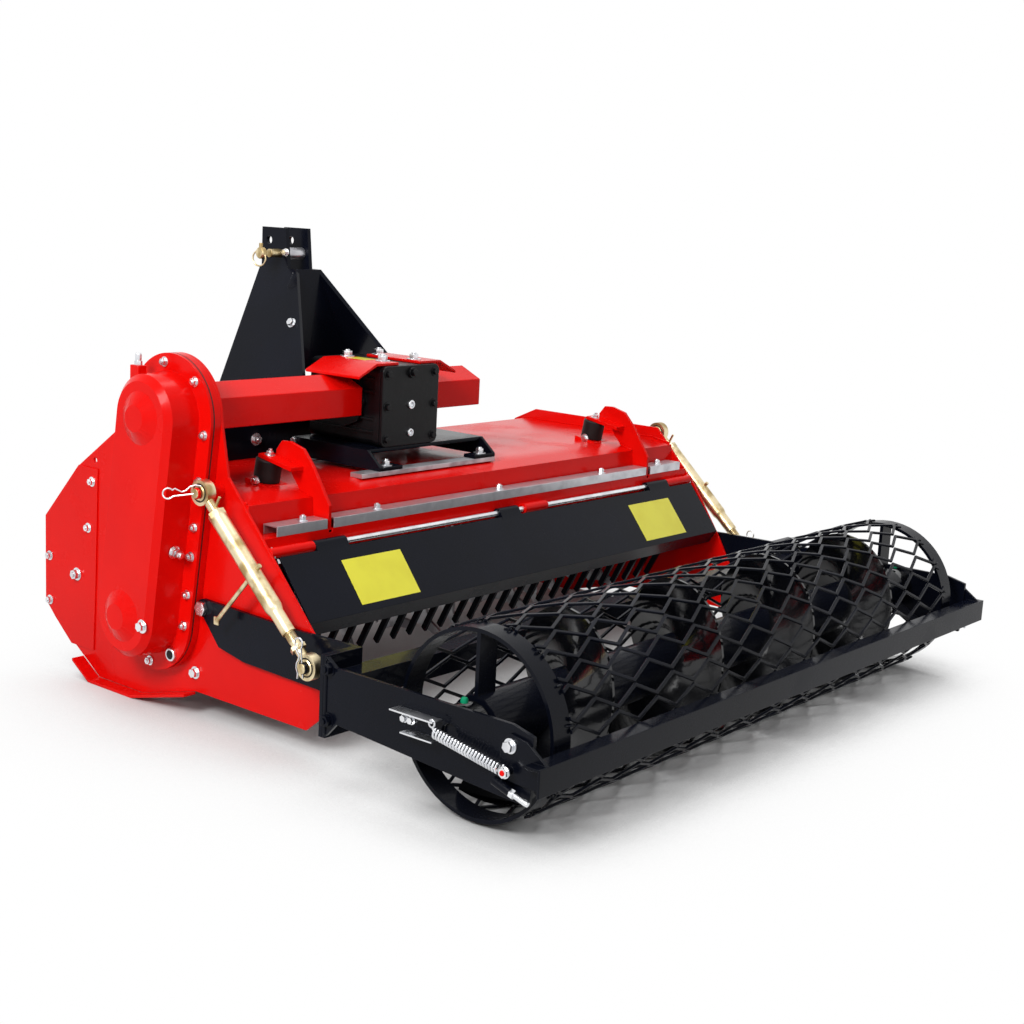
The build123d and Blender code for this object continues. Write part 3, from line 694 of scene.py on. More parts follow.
def place_piece(mesh: bpy.types.Mesh, name: str, finish: Finish, body: str, *replaced: str) -> None:
    """Args:
        mesh: The mesh, in metres.
        name: The piece's name.
        finish: Its finish.
        body: The body that it rides on.
        replaced: The CAD nodes that it stands for.
    """
    mesh.shade_smooth()
    mesh.set_sharp_from_angle(angle=SHARP)
    mesh.materials.append(MATERIALS[finish])
    piece = linked(name, mesh)
    even = piece.modifiers.new("even_shading", "WEIGHTED_NORMAL")
    even.keep_sharp = True
    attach(piece, body)
    if replaced:
        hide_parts(*replaced)
    log.info("%s on %s, %d faces", name, body, len(mesh.polygons))


def body_of_node(node: str) -> str:
    """Return the body that a CAD node rides on."""
    return next(b for b, nodes in frame["record"]["behaviour"]["bodies"].items() if node in nodes)


def pierced(mesh: bpy.types.Mesh, holes: tuple[tuple[Point, Point, float], ...]) -> bpy.types.Mesh:
    """Return a mesh with round holes through it.

    Args:
        mesh: The mesh, in metres.
        holes: The ends of each hole and its radius, in millimetres.

    Returns:
        The new mesh.
    """
    drill = Shaping()
    for start, end, radius in holes:
        drill.bar(start, end, radius, 28)
    cutter, blank = linked("drill", drill.mesh("drill")), linked("blank", mesh)
    cut = blank.modifiers.new("cut", "BOOLEAN")
    cut.operation = "DIFFERENCE"
    cut.solver = "EXACT"
    cut.object = cutter
    graph = bpy.context.evaluated_depsgraph_get()
    made = bpy.data.meshes.new_from_object(blank.evaluated_get(graph))
    for helper in (cutter, blank):
        bpy.data.meshes.remove(helper.data)
    return made


def softened(
    node: str, finish: Finish, edge: float, segments: int = 2,
    holes: tuple[tuple[Point, Point, float], ...] = (), ends: float = 0.0, shift: Point | None = None,
) -> None:
    """Stand a copy with rounded edges in for a CAD node.

    Args:
        node: The CAD node.
        finish: Its finish.
        edge: The rounding of its edges, in millimetres.
        segments: The steps of the rounding.
        holes: The ends of each hole through it and its radius, in millimetres.
        ends: How far along X it reaches to each side, or 0 for all of it, in millimetres.
        shift: The least and the most Y of the corners that move along Y, and their step, in millimetres.
    """
    shape = Shaping()
    shape.bm.from_mesh(frame["nodes"][node].data)
    bmesh.ops.remove_doubles(shape.bm, verts=shape.bm.verts, dist=0.00001)
    flat = math.radians(0.3)
    bmesh.ops.dissolve_limit(shape.bm, angle_limit=flat, verts=shape.bm.verts, edges=shape.bm.edges)
    if shift:
        low, high, step = (a * MILLIMETRE for a in shift)
        moved = [v for v in shape.bm.verts if low < v.co.y < high]
        bmesh.ops.translate(shape.bm, verts=moved, vec=(0, step, 0))
    for side in (-1, 1) if ends else ():
        cut = bmesh.ops.bisect_plane(
            shape.bm, geom=shape.bm.verts[:] + shape.bm.edges[:] + shape.bm.faces[:], clear_outer=True,
            plane_co=(side * ends * MILLIMETRE, 0, 0), plane_no=(side, 0, 0),
        )["geom_cut"]
        rim = [g for g in cut if isinstance(g, bmesh.types.BMEdge)]
        bmesh.ops.holes_fill(shape.bm, edges=rim, sides=0)
    shape.round_off(list(shape.bm.verts), edge * MILLIMETRE, 30.0, segments)
    mesh = shape.mesh(node, 1.0)
    if holes:
        mesh = pierced(mesh, holes)
    place_piece(mesh, f"{node}_finished", finish, body_of_node(node), node)


@dataclass
class Bodywork:
    """The sheets, castings and bars, which keep the shapes of their CAD nodes."""

    nodes: tuple[tuple, ...] = (
        ("hood", Finish.RED, 1.6),
        ("right_side_plate left_skid right_skid chain_housing", Finish.RED, 1.0),
        ("main_beam", Finish.RED, 2.0),
        ("gearbox_wings", Finish.RED, 1.2),
        ("grille_arms", Finish.RED, 1.0),
        ("left_lower_hitch right_lower_hitch", Finish.BLACK, 1.2),
        ("gearbox_support separating_tines", Finish.BLACK, 1.0),
        ("tailgate", Finish.BLACK, 0.9),
        ("rotor_bearings rotor_shaft", Finish.BLACK, 1.0),
        ("left_side_plate", Finish.RED, 1.0, 2, (((-740, 560, 470), (-700, 560, 470), 6.0),
                                                 ((-740, 668, 368), (-700, 668, 368), 6.0))),
        ("headstock", Finish.BLACK, 1.2, 2, (((-260, 594, 928), (-120, 594, 928), 9.5),)),
        ("cage_mesh", Finish.BLACK, 1.2, 2, (), 710.0),
        ("cage_rings", Finish.BLACK, 1.0),
        ("roller_bearings", Finish.GLOSS, 1.0),
        ("scraper_bar", Finish.BLACK, 1.0, 2, (), 843.0),
        ("left_pivot_arm right_pivot_arm", Finish.BLACK, 1.0, 2, (), 0.0, (-300.0, -165.0, -45.0)),
        ("roller_frame", Finish.BLACK, 1.2, 2, (), 0.0, (-235.0, -170.0, -45.0)),
        ("gearbox", Finish.CAST, 4.0, 3),
        ("gearbox_cover", Finish.CAST, 2.0),
        ("chain_cover", Finish.RED, 2.0),
        ("chain_gasket", Finish.RUBBER, 0.6),
        ("rubber_buffers", Finish.RUBBER, 2.5, 3),
        ("clamp_rails", Finish.GALVANISED, 0.6),
        ("support_strip", Finish.STEEL, 0.8),
        ("tailgate_rod", Finish.ZINC, 0.8),
        ("rotor_blades", Finish.STEEL, 1.2),
        ("pto_shaft", Finish.STEEL, 0.8),
        ("pivot_bolts", Finish.ZINC, 1.2),
        ("top_link_pin", Finish.GOLD, 1.0),
        ("top_link_spacer", Finish.GALVANISED, 1.0),
        ("upper_link_pins lower_link_pins", Finish.GOLD, 1.0),
    )

    def build(self) -> None:
        """Dress each of them."""
        for names, *looks in self.nodes:
            for node in names.split():
                softened(node, *looks)


@dataclass
class CageRoller:
    """The roller's auger, wound as one smooth flight."""

    middle_y: float = -523.0
    middle_z: float = 175.0
    pitch: float = 347.0
    wall: float = 6.0
    inner: float = 52.0
    outer: float = 161.0
    start_x: float = -700.0
    end_x: float = 696.0
    phase: float = 296.0
    steps: int = 40

    def build(self) -> None:
        """Wind the auger."""
        shape = Shaping()
        half = (self.outer - self.inner) / 2
        wall = self.wall / 2
        section = [(-wall, -half), (wall, -half), (wall, half), (-wall, half)]
        shape.coil(
            (self.start_x, self.middle_y, self.middle_z), (self.end_x, self.middle_y, self.middle_z),
            self.inner + half, section, (self.end_x - self.start_x) / self.pitch, self.steps,
            math.radians(self.phase), True, (0, 1, 0),
        )
        bmesh.ops.recalc_face_normals(shape.bm, faces=shape.bm.faces)
        shape.into("auger_flight", Finish.GLOSS, "cage_roller", "cage_auger")


@dataclass
class ChainCase:
    """The bolts, the plugs and the breather of the drive case."""

    face_x: float = -749.3
    cover_x: float = -821.3
    upper: tuple[float, float] = (287.0, 598.0)
    lower: tuple[float, float] = (342.0, 198.0)
    circle: float = 105.0
    rear_stations: tuple[float, ...] = (11.0, 104.0, 196.0, 256.0, 335.0, 400.0)
    front_stations: tuple[float, ...] = (11.0, 104.0, 196.0, 296.0, 394.0)
    top_turns: tuple[float, ...] = (-37.0, 17.0, 60.0)
    low_turns: tuple[float, ...] = (-8.0, 48.0)

    def place(self, down: float, out: float) -> tuple[float, float]:
        """Return a point of the flange.

        Args:
            down: How far it lies from the upper shaft toward the lower one.
            out: How far it lies from the line between them, toward the front.

        Returns:
            Its Y and Z.
        """
        run = Vector(self.lower) - Vector(self.upper)
        ahead = run.normalized()
        spot = Vector(self.upper) + ahead * down + Vector((-ahead.y, ahead.x)) * out
        return spot.x, spot.y

    def build(self) -> None:
        """Bolt the cover and fit its plugs."""
        run = (Vector(self.lower) - Vector(self.upper)).length
        spots = [self.place(down, -self.circle) for down in self.rear_stations]
        spots += [self.place(down, self.circle) for down in self.front_stations]
        for turns, middle, way in ((self.top_turns, 0.0, -1), (self.low_turns, run, 1)):
            for a in (math.radians(turn) for turn in turns):
                spots.append(self.place(middle + way * self.circle * math.cos(a), self.circle * math.sin(a)))
        shape = Shaping()
        for y, z in spots:
            shape.hex_bolt((self.face_x, y, z), (-1, 0, 0), 13, 10, 2.5)
        shape.hex_bolt((self.cover_x + 1.5, 276, 190), (-1, 0, 0), 17, 14)
        y, z = self.place(248, -87)
        out = (0, -0.99, -0.136)
        shape.hex_bolt((-778, y, z), out, 17, 13)
        shape.bar((-778, y, z), (-778, y - 26, z - 3.6), 5, 20, edge=0.8)
        shape.hex_bolt((-778, y - 14, z - 1.9), out, 15)
        shape.bar((-790, 333, 694), (-790, 333, 702), 8, 6, edge=0.6)
        shape.turned([(0, 0), (0, 5), (3, 6.2), (13, 6.2), (16, 5), (17, 0)], (-790, 333, 701), (0, 0, 1))
        y, z = self.place(run + 66, -81)
        rim = [(0, 0), (0, 13.5), (7, 13.5), (8, 12.5), (8, 9.5), (6, 9.0), (6, 0)]
        shape.turned(rim, (self.face_x, y, z), (-1, 0, 0))
        shape.into("chain_case_bolts", Finish.ZINC, "machine")
        glass = Shaping()
        glass.turned([(0, 0), (0, 9), (3, 8.4), (4, 0)], (self.face_x - 6, y, z), (-1, 0, 0))
        glass.into("oil_level_glass", Finish.RUBBER, "machine")
        block = Shaping()
        block.block((-800, 320, 664), (-780, 346, 694), 1.5)
        block.into("breather_boss", Finish.RED, "machine")


@dataclass
class SidePlates:
    """The front guard and the bolts on the side plates."""

    face_x: float = -724.0
    thick: float = 3.0
    guard: tuple[tuple[float, float], ...] = (
        (548, 453), (614, 453), (733, 326), (733, 139), (700, 108), (640, 60), (562, 60), (555, 210),
    )
    guard_bolts: tuple[tuple[float, float], ...] = ((566, 424), (579, 324), (716, 240), (715, 142))

    def build(self) -> None:
        """Fit the guards and the bolts."""
        guards, bolts = Shaping(), Shaping()
        for side in (-1, 1):
            x = side * -self.face_x
            guards.plate([(x, y, z) for y, z in self.guard], (side * self.thick, 0, 0), 0.8)
            for y, z in self.guard_bolts:
                bolts.hex_bolt((x + side * self.thick, y, z), (side, 0, 0), 13, 10.5, 2.0)
            bolts.hex_bolt((x + side * self.thick, 618, 217), (side, 0, 0), 19, 14, 3.0)
            bolts.hex_bolt((x, 230, 88), (side, 0, 0), 17, 13)
        guards.into("front_guards", Finish.RED, "machine")
        bolts.into("side_plate_bolts", Finish.ZINC, "machine")


@dataclass
class TopBolts:
    """The bolts of the hood, its rails, the gearbox and the headstock."""

    rows: tuple[tuple[Point, tuple[float, float, float], tuple[Point, ...]], ...] = (
        ((0, 0, 1), (13, 11, 2.0), tuple((x, 61, 411.3) for x in (-604, -398, -10, 374, 612))),
        ((0, 0, 1), (19, 16, 3.0), tuple((x, y, 690.3) for x in (-238, -140) for y in (322, 214))),
        ((0, 0, 1), (17, 14, 3.0), tuple((x, y, 476.6) for y in (150, 383) for x in (-284, 22))),
        ((0, -0.1736, 0.985), (13, 11, 5.0), ((-568, 199.5, 516.5), (526, 199.5, 516.5))),
        ((-1, 0, 0), (13, 11, 0), ((-597, 206, 466), (497, 206, 466))),
        ((0, -1, 0), (17, 14, 3.0), tuple((x, 457, 500) for x in (-482, -378, 100, 0))),
        ((0, -1, 0), (17, 14, 3.0), ((-482, 457, 476), (100, 457, 476))),
        ((-1, 0, 0), (13, 9, 0), ((-228, 536, 903),)),
        ((-0.88, 0, 0.47), (15, 11, 0), ((-288.8, 446, 753),)),
        ((0.88, 0, 0.47), (15, 11, 0), ((-91.2, 446, 753),)),
        ((-1, 0, 0), (15, 0, 0), ((-319, 394, 501), (-319, 394, 482))),
    )
    shaft: tuple[float, float] = (342.0, 198.0)
    shaft_circle: float = 56.0
    gearbox_x: float = -190.0
    cover_y: float = 171.7
    beam_end: tuple[tuple[float, float], ...] = (
        (238, 579), (238, 630), (289.5, 653), (341, 630), (341, 579),
    )

    def build(self) -> None:
        """Fit the bolts, the plugs, the cap of the beam and the blank labels."""
        shape = Shaping()
        for out, sizes, spots in self.rows:
            for spot in spots:
                shape.hex_bolt(spot, out, *sizes)
        for turn in range(6):
            a = FULL_TURN * (turn + 0.5) / 6
            y, z = (at + self.shaft_circle * part for at, part in zip(self.shaft, (math.cos(a), math.sin(a))))
            shape.hex_bolt((748.3, y, z), (1, 0, 0), 13, 10)
        shape.plug((self.gearbox_x, self.cover_y, 599), (0, -1, 0), 9.5, 4.5)
        shape.plug((self.gearbox_x, self.cover_y, 538), (0, -1, 0), 8.5, 4.5)
        shape.into("top_bolts", Finish.ZINC, "machine")
        cast = Shaping()
        for side in (-1, 1):
            x = self.gearbox_x + side * 73
            for z in (527, 597, 667):
                cast.hex_bolt((x, self.cover_y, z), (0, -1, 0), 13, 0)
                cast.bar((x, 173, z), (x, 170.4, z), 11, 28, edge=0.6)
        cast.bar((self.gearbox_x, 173, 668), (self.gearbox_x, 166, 668), 12, 28, edge=1.2)
        cast.hex_bolt((self.gearbox_x, 166, 668), (0, -1, 0), 14, 0)
        for turn in range(8):
            a = FULL_TURN * (turn + 0.5) / 8
            cast.hex_bolt((self.gearbox_x + 41 * math.cos(a), 442, 598 + 41 * math.sin(a)), (0, 1, 0), 10, 0)
        for z in (540, 568, 626, 654):
            for near, far in ((-85, -79), (79, 85)):
                cast.block((self.gearbox_x + near, 196, z - 2.5), (self.gearbox_x + far, 396, z + 2.5), 1.0)
        cast.into("gearbox_cover_bolts", Finish.CAST, "machine")
        cap = Shaping()
        cap.plate([(103, y, z) for y, z in self.beam_end], (4, 0, 0), 0.8)
        cap.into("beam_end_cap", Finish.RED, "machine")
        label = Shaping()
        label.block((-262, 244, 690.3), (-226, 300, 690.8), 0.15)
        label.into("wing_label", Finish.LABEL, "machine")


@dataclass
class TopLinkPin:
    """The top link's pin with its grip and its spring ring."""

    y: float = 556.0
    z: float = 900.0

    def build(self) -> None:
        """Fit the grip and the ring."""
        shape = Shaping()
        shape.turned(
            [(0, 0), (0, 10.5), (3, 13), (12, 13), (15, 10.5), (15, 0)], (-292, self.y, self.z), (1, 0, 0),
        )
        shape.bar((-286, self.y, self.z - 8), (-286, self.y, self.z + 22), 4.4, 20, edge=1.0)
        shape.ring((-288, self.y + 3, self.z - 12), (1, 0.25, 0), 17, 1.9)
        shape.into("top_pin_grip", Finish.GOLD, "machine")


@dataclass
class LowerLinkPins:
    """The spring pins in the ends of the lower link pins."""

    ends: tuple[tuple[float, float], ...] = ((-605.0, -1.0), (225.0, 1.0))
    y: float = 680.0
    z: float = 440.0

    def build(self) -> None:
        """Fit a pin with its ring to each."""
        shape = Shaping()
        for x, side in self.ends:
            shape.bar((x, self.y, self.z - 19), (x, self.y, self.z + 17), 4.0, 20, edge=1.0)
            shape.bar((x, self.y, self.z + 12), (x, self.y, self.z + 22), 7.0, 20, edge=1.5)
            shape.ring((x + side * 2, self.y, self.z), (1, 0, 0.1), 20.5, 1.9)
        shape.into("lower_spring_pins", Finish.GOLD, "machine")


@dataclass
class Turnbuckle:
    """One turnbuckle of the roller's depth setting."""

    side: str
    x: float
    upper: tuple[float, float] = (165.0, 467.0)
    lower: tuple[float, float] = (-138.0, 192.0)
    thread_start: float = 335.0
    thread_end: float = 353.0

    def along(self, run: float, lift: float = 0.0) -> Point:
        """Return a point near the turnbuckle's line.

        Args:
            run: The distance from its upper eye.
            lift: How far it lies above the line.

        Returns:
            The point.
        """
        start, end = Vector(self.upper), Vector(self.lower)
        ahead = (end - start).normalized()
        spot = start + ahead * run + Vector((ahead.y, -ahead.x)) * lift
        return self.x, spot.x, spot.y

    def race(self, body: str, middle: tuple[float, float], name: str, bore: float) -> None:
        """Set the ball joint's race into an eye, with a dark ring at each of its faces that is painted shade
        of the crevice round it.

        Args:
            body: The body that the eye belongs to.
            middle: The eye's Y and Z.
            name: The piece's name.
            bore: The radius of its hole.
        """
        shape = Shaping()
        shape.turned(
            [(-12.5, bore), (-12.5, 13.6), (-10.6, 16), (10.6, 16), (12.5, 13.6), (12.5, bore)],
            (self.x, *middle), (1, 0, 0),
        )
        shape.into(f"{self.side}_{name}_race", Finish.GOLD, body)
        # Dark rubber-finished rings round each face of the race: painted shade in the crevice between the
        # race and the eye.
        shade_rings = Shaping()
        for face in (-1, 1):
            shade_rings.ring((self.x + face * 10.2, *middle), (1, 0, 0), 17.2, 1.3)
        shade_rings.into(f"{self.side}_{name}_crevice_shade", Finish.RUBBER, body)

    def build(self) -> None:
        """Dress its tube, its screw and its pins."""
        softened(f"{self.side}_turnbuckle_tube", Finish.GOLD, 1.6, segments=3)
        softened(f"{self.side}_turnbuckle_screw", Finish.GOLD, 1.6, segments=3)
        out = -1 if self.x < 0 else 1
        self.race(f"{self.side}_link_tube", self.upper, "upper_eye", 9.8)
        self.race(f"{self.side}_link_screw", self.lower, "lower_eye", 11.4)
        shape = Shaping()
        shape.thread(self.along(26), self.along(49), 9.5)
        shape.bar(self.along(44), self.along(36, 30), 3.0, 16)
        grip = Vector(self.along(196, -150))
        shape.block(grip + Vector((-2, -7, -8)), grip + Vector((2, 7, 8)), 1.2)
        shape.thread(self.along(self.thread_start), self.along(self.thread_end), 9.65)
        shape.into(f"{self.side}_tube_fittings", Finish.GOLD, f"{self.side}_link_tube")
        self.clip("upper", "machine", (out * 0.7, 0.7, -0.15), (0, 0.15, 0.97), 52)
        self.clip("lower", "roller_carrier", (0, 0.12, 0.99), (0, 0.99, -0.12), 46)
        sleeve = [(0, 9.8), (0, 15), (24, 15), (26, 13), (26, 9.8)]
        for place, eye, finish, body in (
            ("upper", self.upper, Finish.RED, "machine"),
            ("lower", self.lower, Finish.BLACK, "roller_carrier"),
        ):
            nub = Shaping()
            cap = [(0, 0), (0, 9.4), (1.5, 11), (6, 11), (8, 9), (8, 0)]
            nub.turned(cap, (self.x + out * 13, *eye), (out, 0, 0))
            if eye == self.upper:
                nub.turned(sleeve, (self.x - out * 40, *eye), (out, 0, 0))
            nub.into(f"{self.side}_{place}_pin_collar", finish, body)

    def clip(self, place: str, body: str, along: Point, across: Point, length: float) -> None:
        """Hold an eye on its pin with a spring clip.

        Args:
            place: Which eye it is, upper or lower.
            body: The body that the pin belongs to.
            along: The direction of the clip's legs.
            across: The side on which its wavy leg lies.
            length: The clip's length.
        """
        shape = Shaping()
        pin = self.x + (-18 if self.x < 0 else 18)
        shape.spring_clip((pin, *(self.upper if place == "upper" else self.lower)), along, across, length)
        shape.into(f"{self.side}_{place}_clip", Finish.ZINC, body)


@dataclass
class Tailgate:
    """The blank labels of the tailgate and the fittings of its hinge."""

    hinge: tuple[float, float] = (30.0, 365.0)
    low: tuple[float, float] = (-68.0, 243.0)
    skin: float = 8.0
    labels: tuple[tuple[float, float], ...] = ((-560.0, -394.0), (405.0, 576.0))
    label_run: tuple[float, float] = (43.0, 142.0)
    sleeve: tuple[float, float] = (40.0, 120.0)

    def on_gate(self, x: float, run: float, rise: float) -> Point:
        """Return a point on or over the gate's skin.

        Args:
            x: Its X.
            run: How far it lies down the gate from the hinge.
            rise: How far it lies out of the skin.

        Returns:
            The point.
        """
        down = (Vector(self.low) - Vector(self.hinge)).normalized()
        out = Vector((down.y, -down.x))
        spot = Vector(self.hinge) + down * run + out * (self.skin + rise)
        return x, spot.x, spot.y

    def build(self) -> None:
        """Fit the labels and the hinge's pins."""
        label = Shaping()
        near, far = self.label_run
        step = Vector(self.on_gate(0, 0, 0.5)) - Vector(self.on_gate(0, 0, 0.0))
        for start, end in self.labels:
            corners = [(start, far), (start, near), (end, near), (end, far)]
            label.plate([self.on_gate(x, run, 0.05) for x, run in corners], tuple(step), 0.15)
        label.into("gate_labels", Finish.LABEL, "tailgate_leaf")
        pins = Shaping()
        for side in (-1, 1):
            x = side * 711.0
            pins.ring((x, self.hinge[0] + 2, self.hinge[1] - 6), (1, 0, 0), 11, 1.6)
            pins.bar((x, self.hinge[0], self.hinge[1] - 14), (x, self.hinge[0], self.hinge[1] + 12), 1.8, 12)
        pins.into("hinge_pins", Finish.ZINC, "machine")
        sleeve = Shaping()
        sleeve.bar((self.sleeve[0], *self.hinge), (self.sleeve[1], *self.hinge), 11, 32, edge=0.8)
        sleeve.block((self.sleeve[0], 31, 356), (self.sleeve[1], 44, 374), 0.8)
        sleeve.into("hinge_sleeve", Finish.RED, "machine")


@dataclass
class RollerFittings:
    """The springs, the bolts and the clips round the roller."""

    side_x: float = 815.3
    spring_x: float = 835.0
    rear: tuple[float, float] = (-661.0, 152.0)
    front: tuple[float, float] = (-506.0, 178.5)
    coil_radius: float = 8.2
    wire: float = 1.95
    turns: int = 22
    clips: int = 16

    def build(self) -> None:
        """Fit all of them."""
        self.springs()
        self.bolts()
        self.mesh_clips()

    def springs(self) -> None:
        """Wind the springs and fold their brackets."""
        shape = Shaping()
        turns = [FULL_TURN * k / 6 for k in range(6)]
        section = [(self.wire * math.cos(a), self.wire * math.sin(a)) for a in turns]
        run = (Vector(self.front) - Vector(self.rear))
        ahead = run.normalized()
        first = Vector(self.rear) + ahead * 10.5
        last = Vector(self.front) - ahead * 4
        for side in (-1, 1):
            x = side * self.spring_x
            shape.coil((x, first.x, first.y), (x, last.x, last.y), self.coil_radius, section, self.turns, 16)
            shape.ring((x, *self.rear), (1, 0, 0), 7.6, self.wire)
            shape.wire([(x, last.x, last.y), (x, self.front[0] + 3, self.front[1] + 8)], self.wire)
            start, outer = side * self.side_x, side * (self.side_x + 26)
            low, high = sorted((start, outer))
            shape.block((low, -508, 194), (high, -410, 197), 0.8)
            shape.block((low, -508, 160), (high, -436, 163), 0.8)
            for y in (-424, -440):
                shape.hex_bolt((start, y, 178), (side, 0, 0), 11, 8)
            shape.ring((x, self.front[0] + 4, 192), (1, 0, 0), 6, 1.8)
        bmesh.ops.recalc_face_normals(shape.bm, faces=shape.bm.faces)
        shape.into("scraper_coils", Finish.ZINC, "roller_carrier", "scraper_springs")

    def bolts(self) -> None:
        """Fit the bolts of the scraper, its setting screws and the caps of the bearings."""
        shape, black, caps, tips = Shaping(), Shaping(), Shaping(), Shaping()
        for side in (-1, 1):
            x = side * (self.side_x + 6)
            shape.hex_bolt((x, -658, 191.5), (side, 0, 0), 17, 13)
            shape.bar((side * 837.6, *self.rear), (side * 843.0, *self.rear), 9.2, 6, edge=0.7)
            shape.bar((side * 836.6, *self.rear), (side * 837.6, *self.rear), 10.5, 24, edge=0.3)
            tips.turned([(0, 0), (0, 4.8), (1.4, 4.2), (2.0, 0)], (side * 843.0, *self.rear), (side, 0, 0))
            black.bar((side * 827, -632, 129), (side * 827, -668, 118), 8, 24, edge=1.0)
            black.hex_bolt((side * 815, -240, 222), (side, 0, 0), 19, 14, 3.0)
            black.hex_bolt((side * 815, -240, 128), (side, 0, 0), 19, 14, 3.0)
            low, high = sorted((side * 815, side * 829))
            black.block((low, -650, 116), (high, -636, 134), 1.0)
            shape.bar((side * 827, -668, 118), (side * 827, -676, 115.5), 8.5, 6, edge=0.6)
            shape.bar((side * 827, -676, 115.5), (side * 827, -704, 107), 4.6, 16, edge=0.8)
            shape.thread((side * 827, -677, 115.2), (side * 827, -700, 108.2), 4.6, 1.8)
            caps.turned([(0, 0), (0, 6.5), (6, 6.5), (9, 4.5), (10, 0)], (side * 786, -528, 224), (0, 0, 1))
        shape.into("scraper_bolts", Finish.ZINC, "roller_carrier")
        black.into("scraper_screw_tubes", Finish.BLACK, "roller_carrier")
        tips.into("spring_pin_tips", Finish.RED, "roller_carrier")
        caps.into("grease_caps", Finish.GREEN, "roller_carrier")

    def mesh_clips(self) -> None:
        """Hook the mesh to the end rings."""
        shape = Shaping()
        arc = [(706, 166.0), (704, 170.5), (707, 173.2), (712, 173.6), (716, 171.4), (717, 167.0)]
        for side in (-1, 1):
            for index in range(self.clips):
                a = FULL_TURN * (index + 0.5) / self.clips
                y, z = math.cos(a), math.sin(a)
                shape.wire([(side * x, -523 + y * r, 175 + z * r) for x, r in arc], 1.9)
        shape.into("mesh_clips", Finish.BLACK, "cage_roller")


@dataclass
class RotorBolts:
    """The bolts that hold the blades to the rotor's discs."""

    middle: tuple[float, float] = (342.0, 198.0)
    pitch: float = 160.0
    discs: int = 9
    lag: float = 26.0
    radii: tuple[float, ...] = (76.0, 96.0)

    def build(self) -> None:
        """Fit the bolts."""
        shape = Shaping()
        for index in range(self.discs):
            place = (index - (self.discs - 1) / 2) * self.pitch
            for side in (-1, 1):
                for step in range(3):
                    turn = math.radians(index * self.lag + (step + (side + 1) / 4) * 120)
                    for radius in self.radii:
                        y = self.middle[0] - radius * math.sin(turn)
                        z = self.middle[1] + radius * math.cos(turn)
                        shape.hex_bolt((place + side * 13.3, y, z), (side, 0, 0), 13, 9)
        shape.into("blade_bolts", Finish.ZINC, "rotor")


@dataclass
class Welds:
    """The weld beads between the plates."""

    red: tuple[tuple[Point, Point], ...] = (
        ((-717, 233, 574), (-717, 233, 632)), ((-717, 233, 633), (-717, 289, 658)),
        ((-717, 289, 658), (-717, 346, 633)), ((-717, 232, 573), (-717, 346, 573)),
        ((-717, 95, 450), (-717, 148, 460)), ((-717, 150, 460), (-717, 570, 460)),
        ((717, 95, 450), (717, 148, 460)), ((717, 150, 460), (717, 540, 460)),
        ((-717, 88, 394), (-717, 92, 444)), ((717, 88, 394), (717, 92, 444)),
        ((-541, 128, 457), (-541, 90, 448)), ((541, 128, 457), (541, 90, 448)),
    )
    black: tuple[tuple[Point, Point], ...] = (
        ((-224, 507, 864), (-158, 507, 864)), ((-230, 508, 860), (-338, 508, 645)),
        ((-150, 508, 860), (-42, 508, 645)),
        ((-519, 467, 462), (-519, 467, 528)), ((-405, 467, 462), (-405, 467, 528)),
        ((139, 467, 462), (139, 467, 528)), ((25, 467, 462), (25, 467, 528)),
    )
    flange: tuple[tuple[Point, Point], ...] = (
        ((-816, -233, 100), (-816, -233, 238)), ((816, -233, 100), (816, -233, 238)),
    )

    def build(self) -> None:
        """Lay the beads."""
        for name, finish, body, lines in (
            ("red_welds", Finish.RED, "machine", self.red),
            ("black_welds", Finish.BLACK, "machine", self.black),
            ("frame_welds", Finish.BLACK, "roller_carrier", self.flange),
        ):
            shape = Shaping()
            for start, end in lines:
                shape.bead(start, end)
            shape.into(name, finish, body)


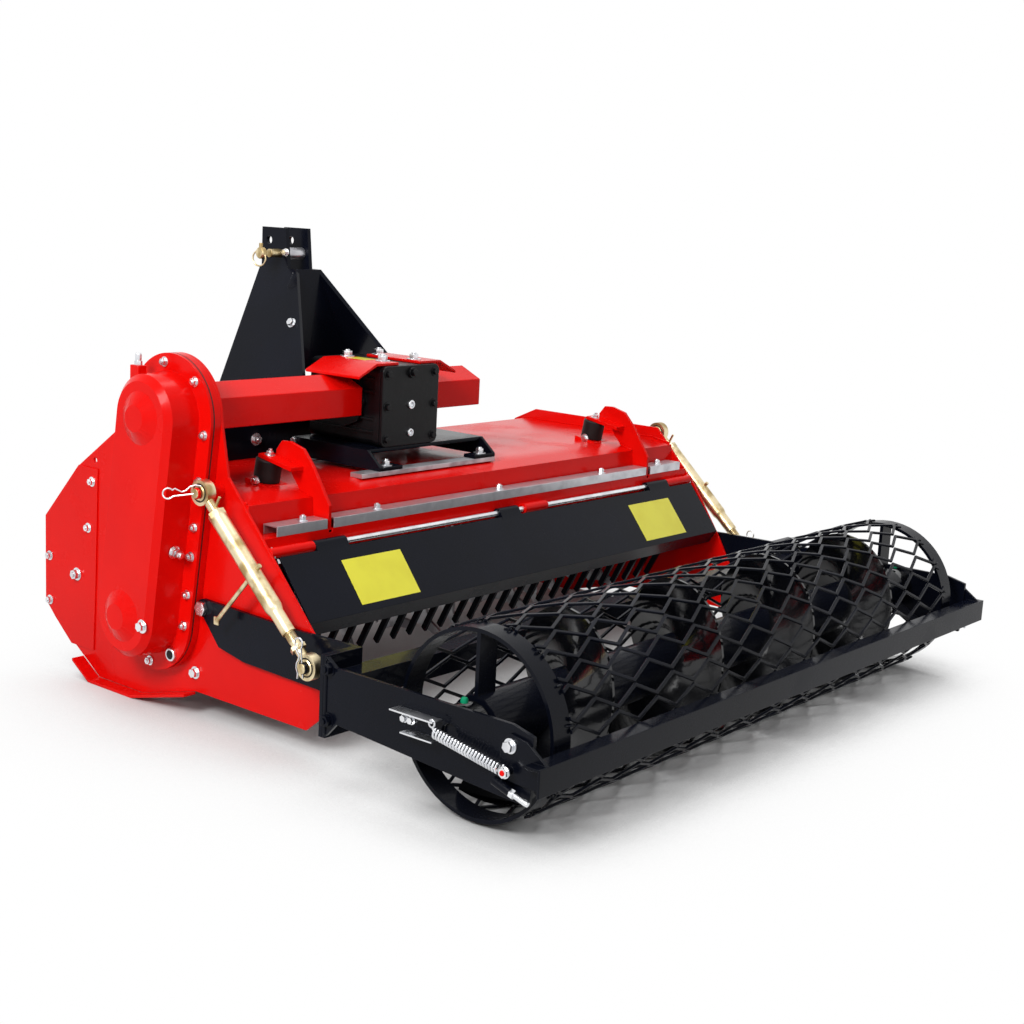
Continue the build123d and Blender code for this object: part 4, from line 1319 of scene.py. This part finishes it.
@dataclass
class Studio:
    """The floor, the lamps and the camera."""

    eye: Point = (-2.6864, -2.1456, 1.0285)
    yaw: float = 51.02
    pitch: float = 10.91
    roll: float = 2.99
    lens: float = 55.5
    floor_size: float = 30.0
    floor_shade: tuple[float, float] = (0.25, 0.85)
    shade_reach: float = 0.7
    world_light: float = 0.24
    aim: Point = (0.0, 0.0, 0.35)
    lamps: tuple[tuple[str, Point, float, float], ...] = (
        ("key", (-4.0, -0.6, 3.0), 150.0, 1.4),
        ("fill", (-2.2, -3.6, 2.6), 28.0, 2.0),
        ("top", (0.4, 0.6, 4.4), 70.0, 2.4),
    )

    def build(self) -> None:
        """Set the stage."""
        self.camera()
        self.floor()
        for lamp in self.lamps:
            self.lamp(*lamp)
        self.sky()
        bpy.context.scene.view_settings.view_transform = "Standard"

    def camera(self) -> None:
        """Put the camera where the photograph was taken."""
        yaw, pitch, roll = (math.radians(a) for a in (self.yaw, self.pitch, self.roll))
        ahead = Vector((math.sin(yaw) * math.cos(pitch), math.cos(yaw) * math.cos(pitch), -math.sin(pitch)))
        level = Vector((math.cos(yaw), -math.sin(yaw), 0.0))
        above = level.cross(ahead)
        right = level * math.cos(roll) + above * math.sin(roll)
        up = right.cross(ahead)
        data = bpy.data.cameras.new("camera")
        data.lens = self.lens
        data.sensor_width = 36.0
        eye = linked("camera", data)
        turn = Matrix((right, up, -ahead)).transposed()
        eye.matrix_world = Matrix.Translation(self.eye) @ turn.to_4x4()
        bpy.context.scene.camera = eye

    def floor(self) -> None:
        """Lay a pale floor."""
        shader = Shader("pale_floor")
        cloud = shader.noise(2.0, 3.0)
        shader.feed(Base_Color=shader.blend((0.58, 0.58, 0.58), (0.62, 0.62, 0.62), cloud), Roughness=0.8)
        # The floor glows white where it lies open. Where the machine hides it, measured by ambient occlusion,
        # the glow fades out and the lit grey floor with its real shadow shows, so the darkening under the
        # machine is partly painted shade.
        shade = shader.node("ShaderNodeAmbientOcclusion", {"samples": 8}, {"Distance": self.shade_reach})
        share = shader.seen() * Value(shader, shade.outputs["AO"]).between(*self.floor_shade)
        glow = shader.node("ShaderNodeEmission", sockets={"Color": WHITE, "Strength": 1.0}).outputs[0]
        mix = shader.node("ShaderNodeMixShader", sockets={0: share, 1: shader.surface.outputs[0], 2: glow})
        shader.tree.links.new(mix.outputs[0], shader.end.inputs["Surface"])
        bm = bmesh.new()
        bmesh.ops.create_grid(bm, x_segments=1, y_segments=1, size=self.floor_size / 2)
        mesh = bpy.data.meshes.new("floor")
        bm.to_mesh(mesh)
        bm.free()
        mesh.materials.append(shader.material)
        linked("floor", mesh)

    def lamp(self, name: str, place: Point, power: float, size: float) -> None:
        """Hang one soft lamp that faces the machine.

        Args:
            name: The lamp's name.
            place: Where it hangs.
            power: Its power, in watts.
            size: The side of its square.
        """
        data = bpy.data.lights.new(name, "AREA")
        data.energy = power
        data.shape = "SQUARE"
        data.size = size
        lamp = linked(name, data)
        lamp.location = place
        lamp.rotation_euler = (Vector(self.aim) - Vector(place)).to_track_quat("-Z", "Y").to_euler()

    def sky(self) -> None:
        """Light the world, which looks white."""
        world = bpy.data.worlds.new("studio")
        bpy.context.scene.world = world
        tree = Tree(world)
        dim, white = (
            tree.node("ShaderNodeBackground", sockets={"Color": WHITE, "Strength": strength}).outputs[0]
            for strength in (self.world_light, 1.0)
        )
        mix = tree.node("ShaderNodeMixShader", sockets={0: tree.seen(), 1: dim, 2: white})
        tree.node("ShaderNodeOutputWorld", sockets={"Surface": mix.outputs[0]})


def main() -> None:
    """Build the machine's looks, piece by piece."""
    logging.basicConfig(level=logging.INFO, format="%(name)s: %(message)s")
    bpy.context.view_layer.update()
    for assembly in (
        Studio(), Bodywork(), CageRoller(), ChainCase(), SidePlates(), TopBolts(), TopLinkPin(),
        LowerLinkPins(), Turnbuckle("left", -765.0), Turnbuckle("right", 765.0), Tailgate(),
        RollerFittings(), RotorBolts(), Welds(),
    ):
        assembly.build()


if __name__ == "__main__":
    main()
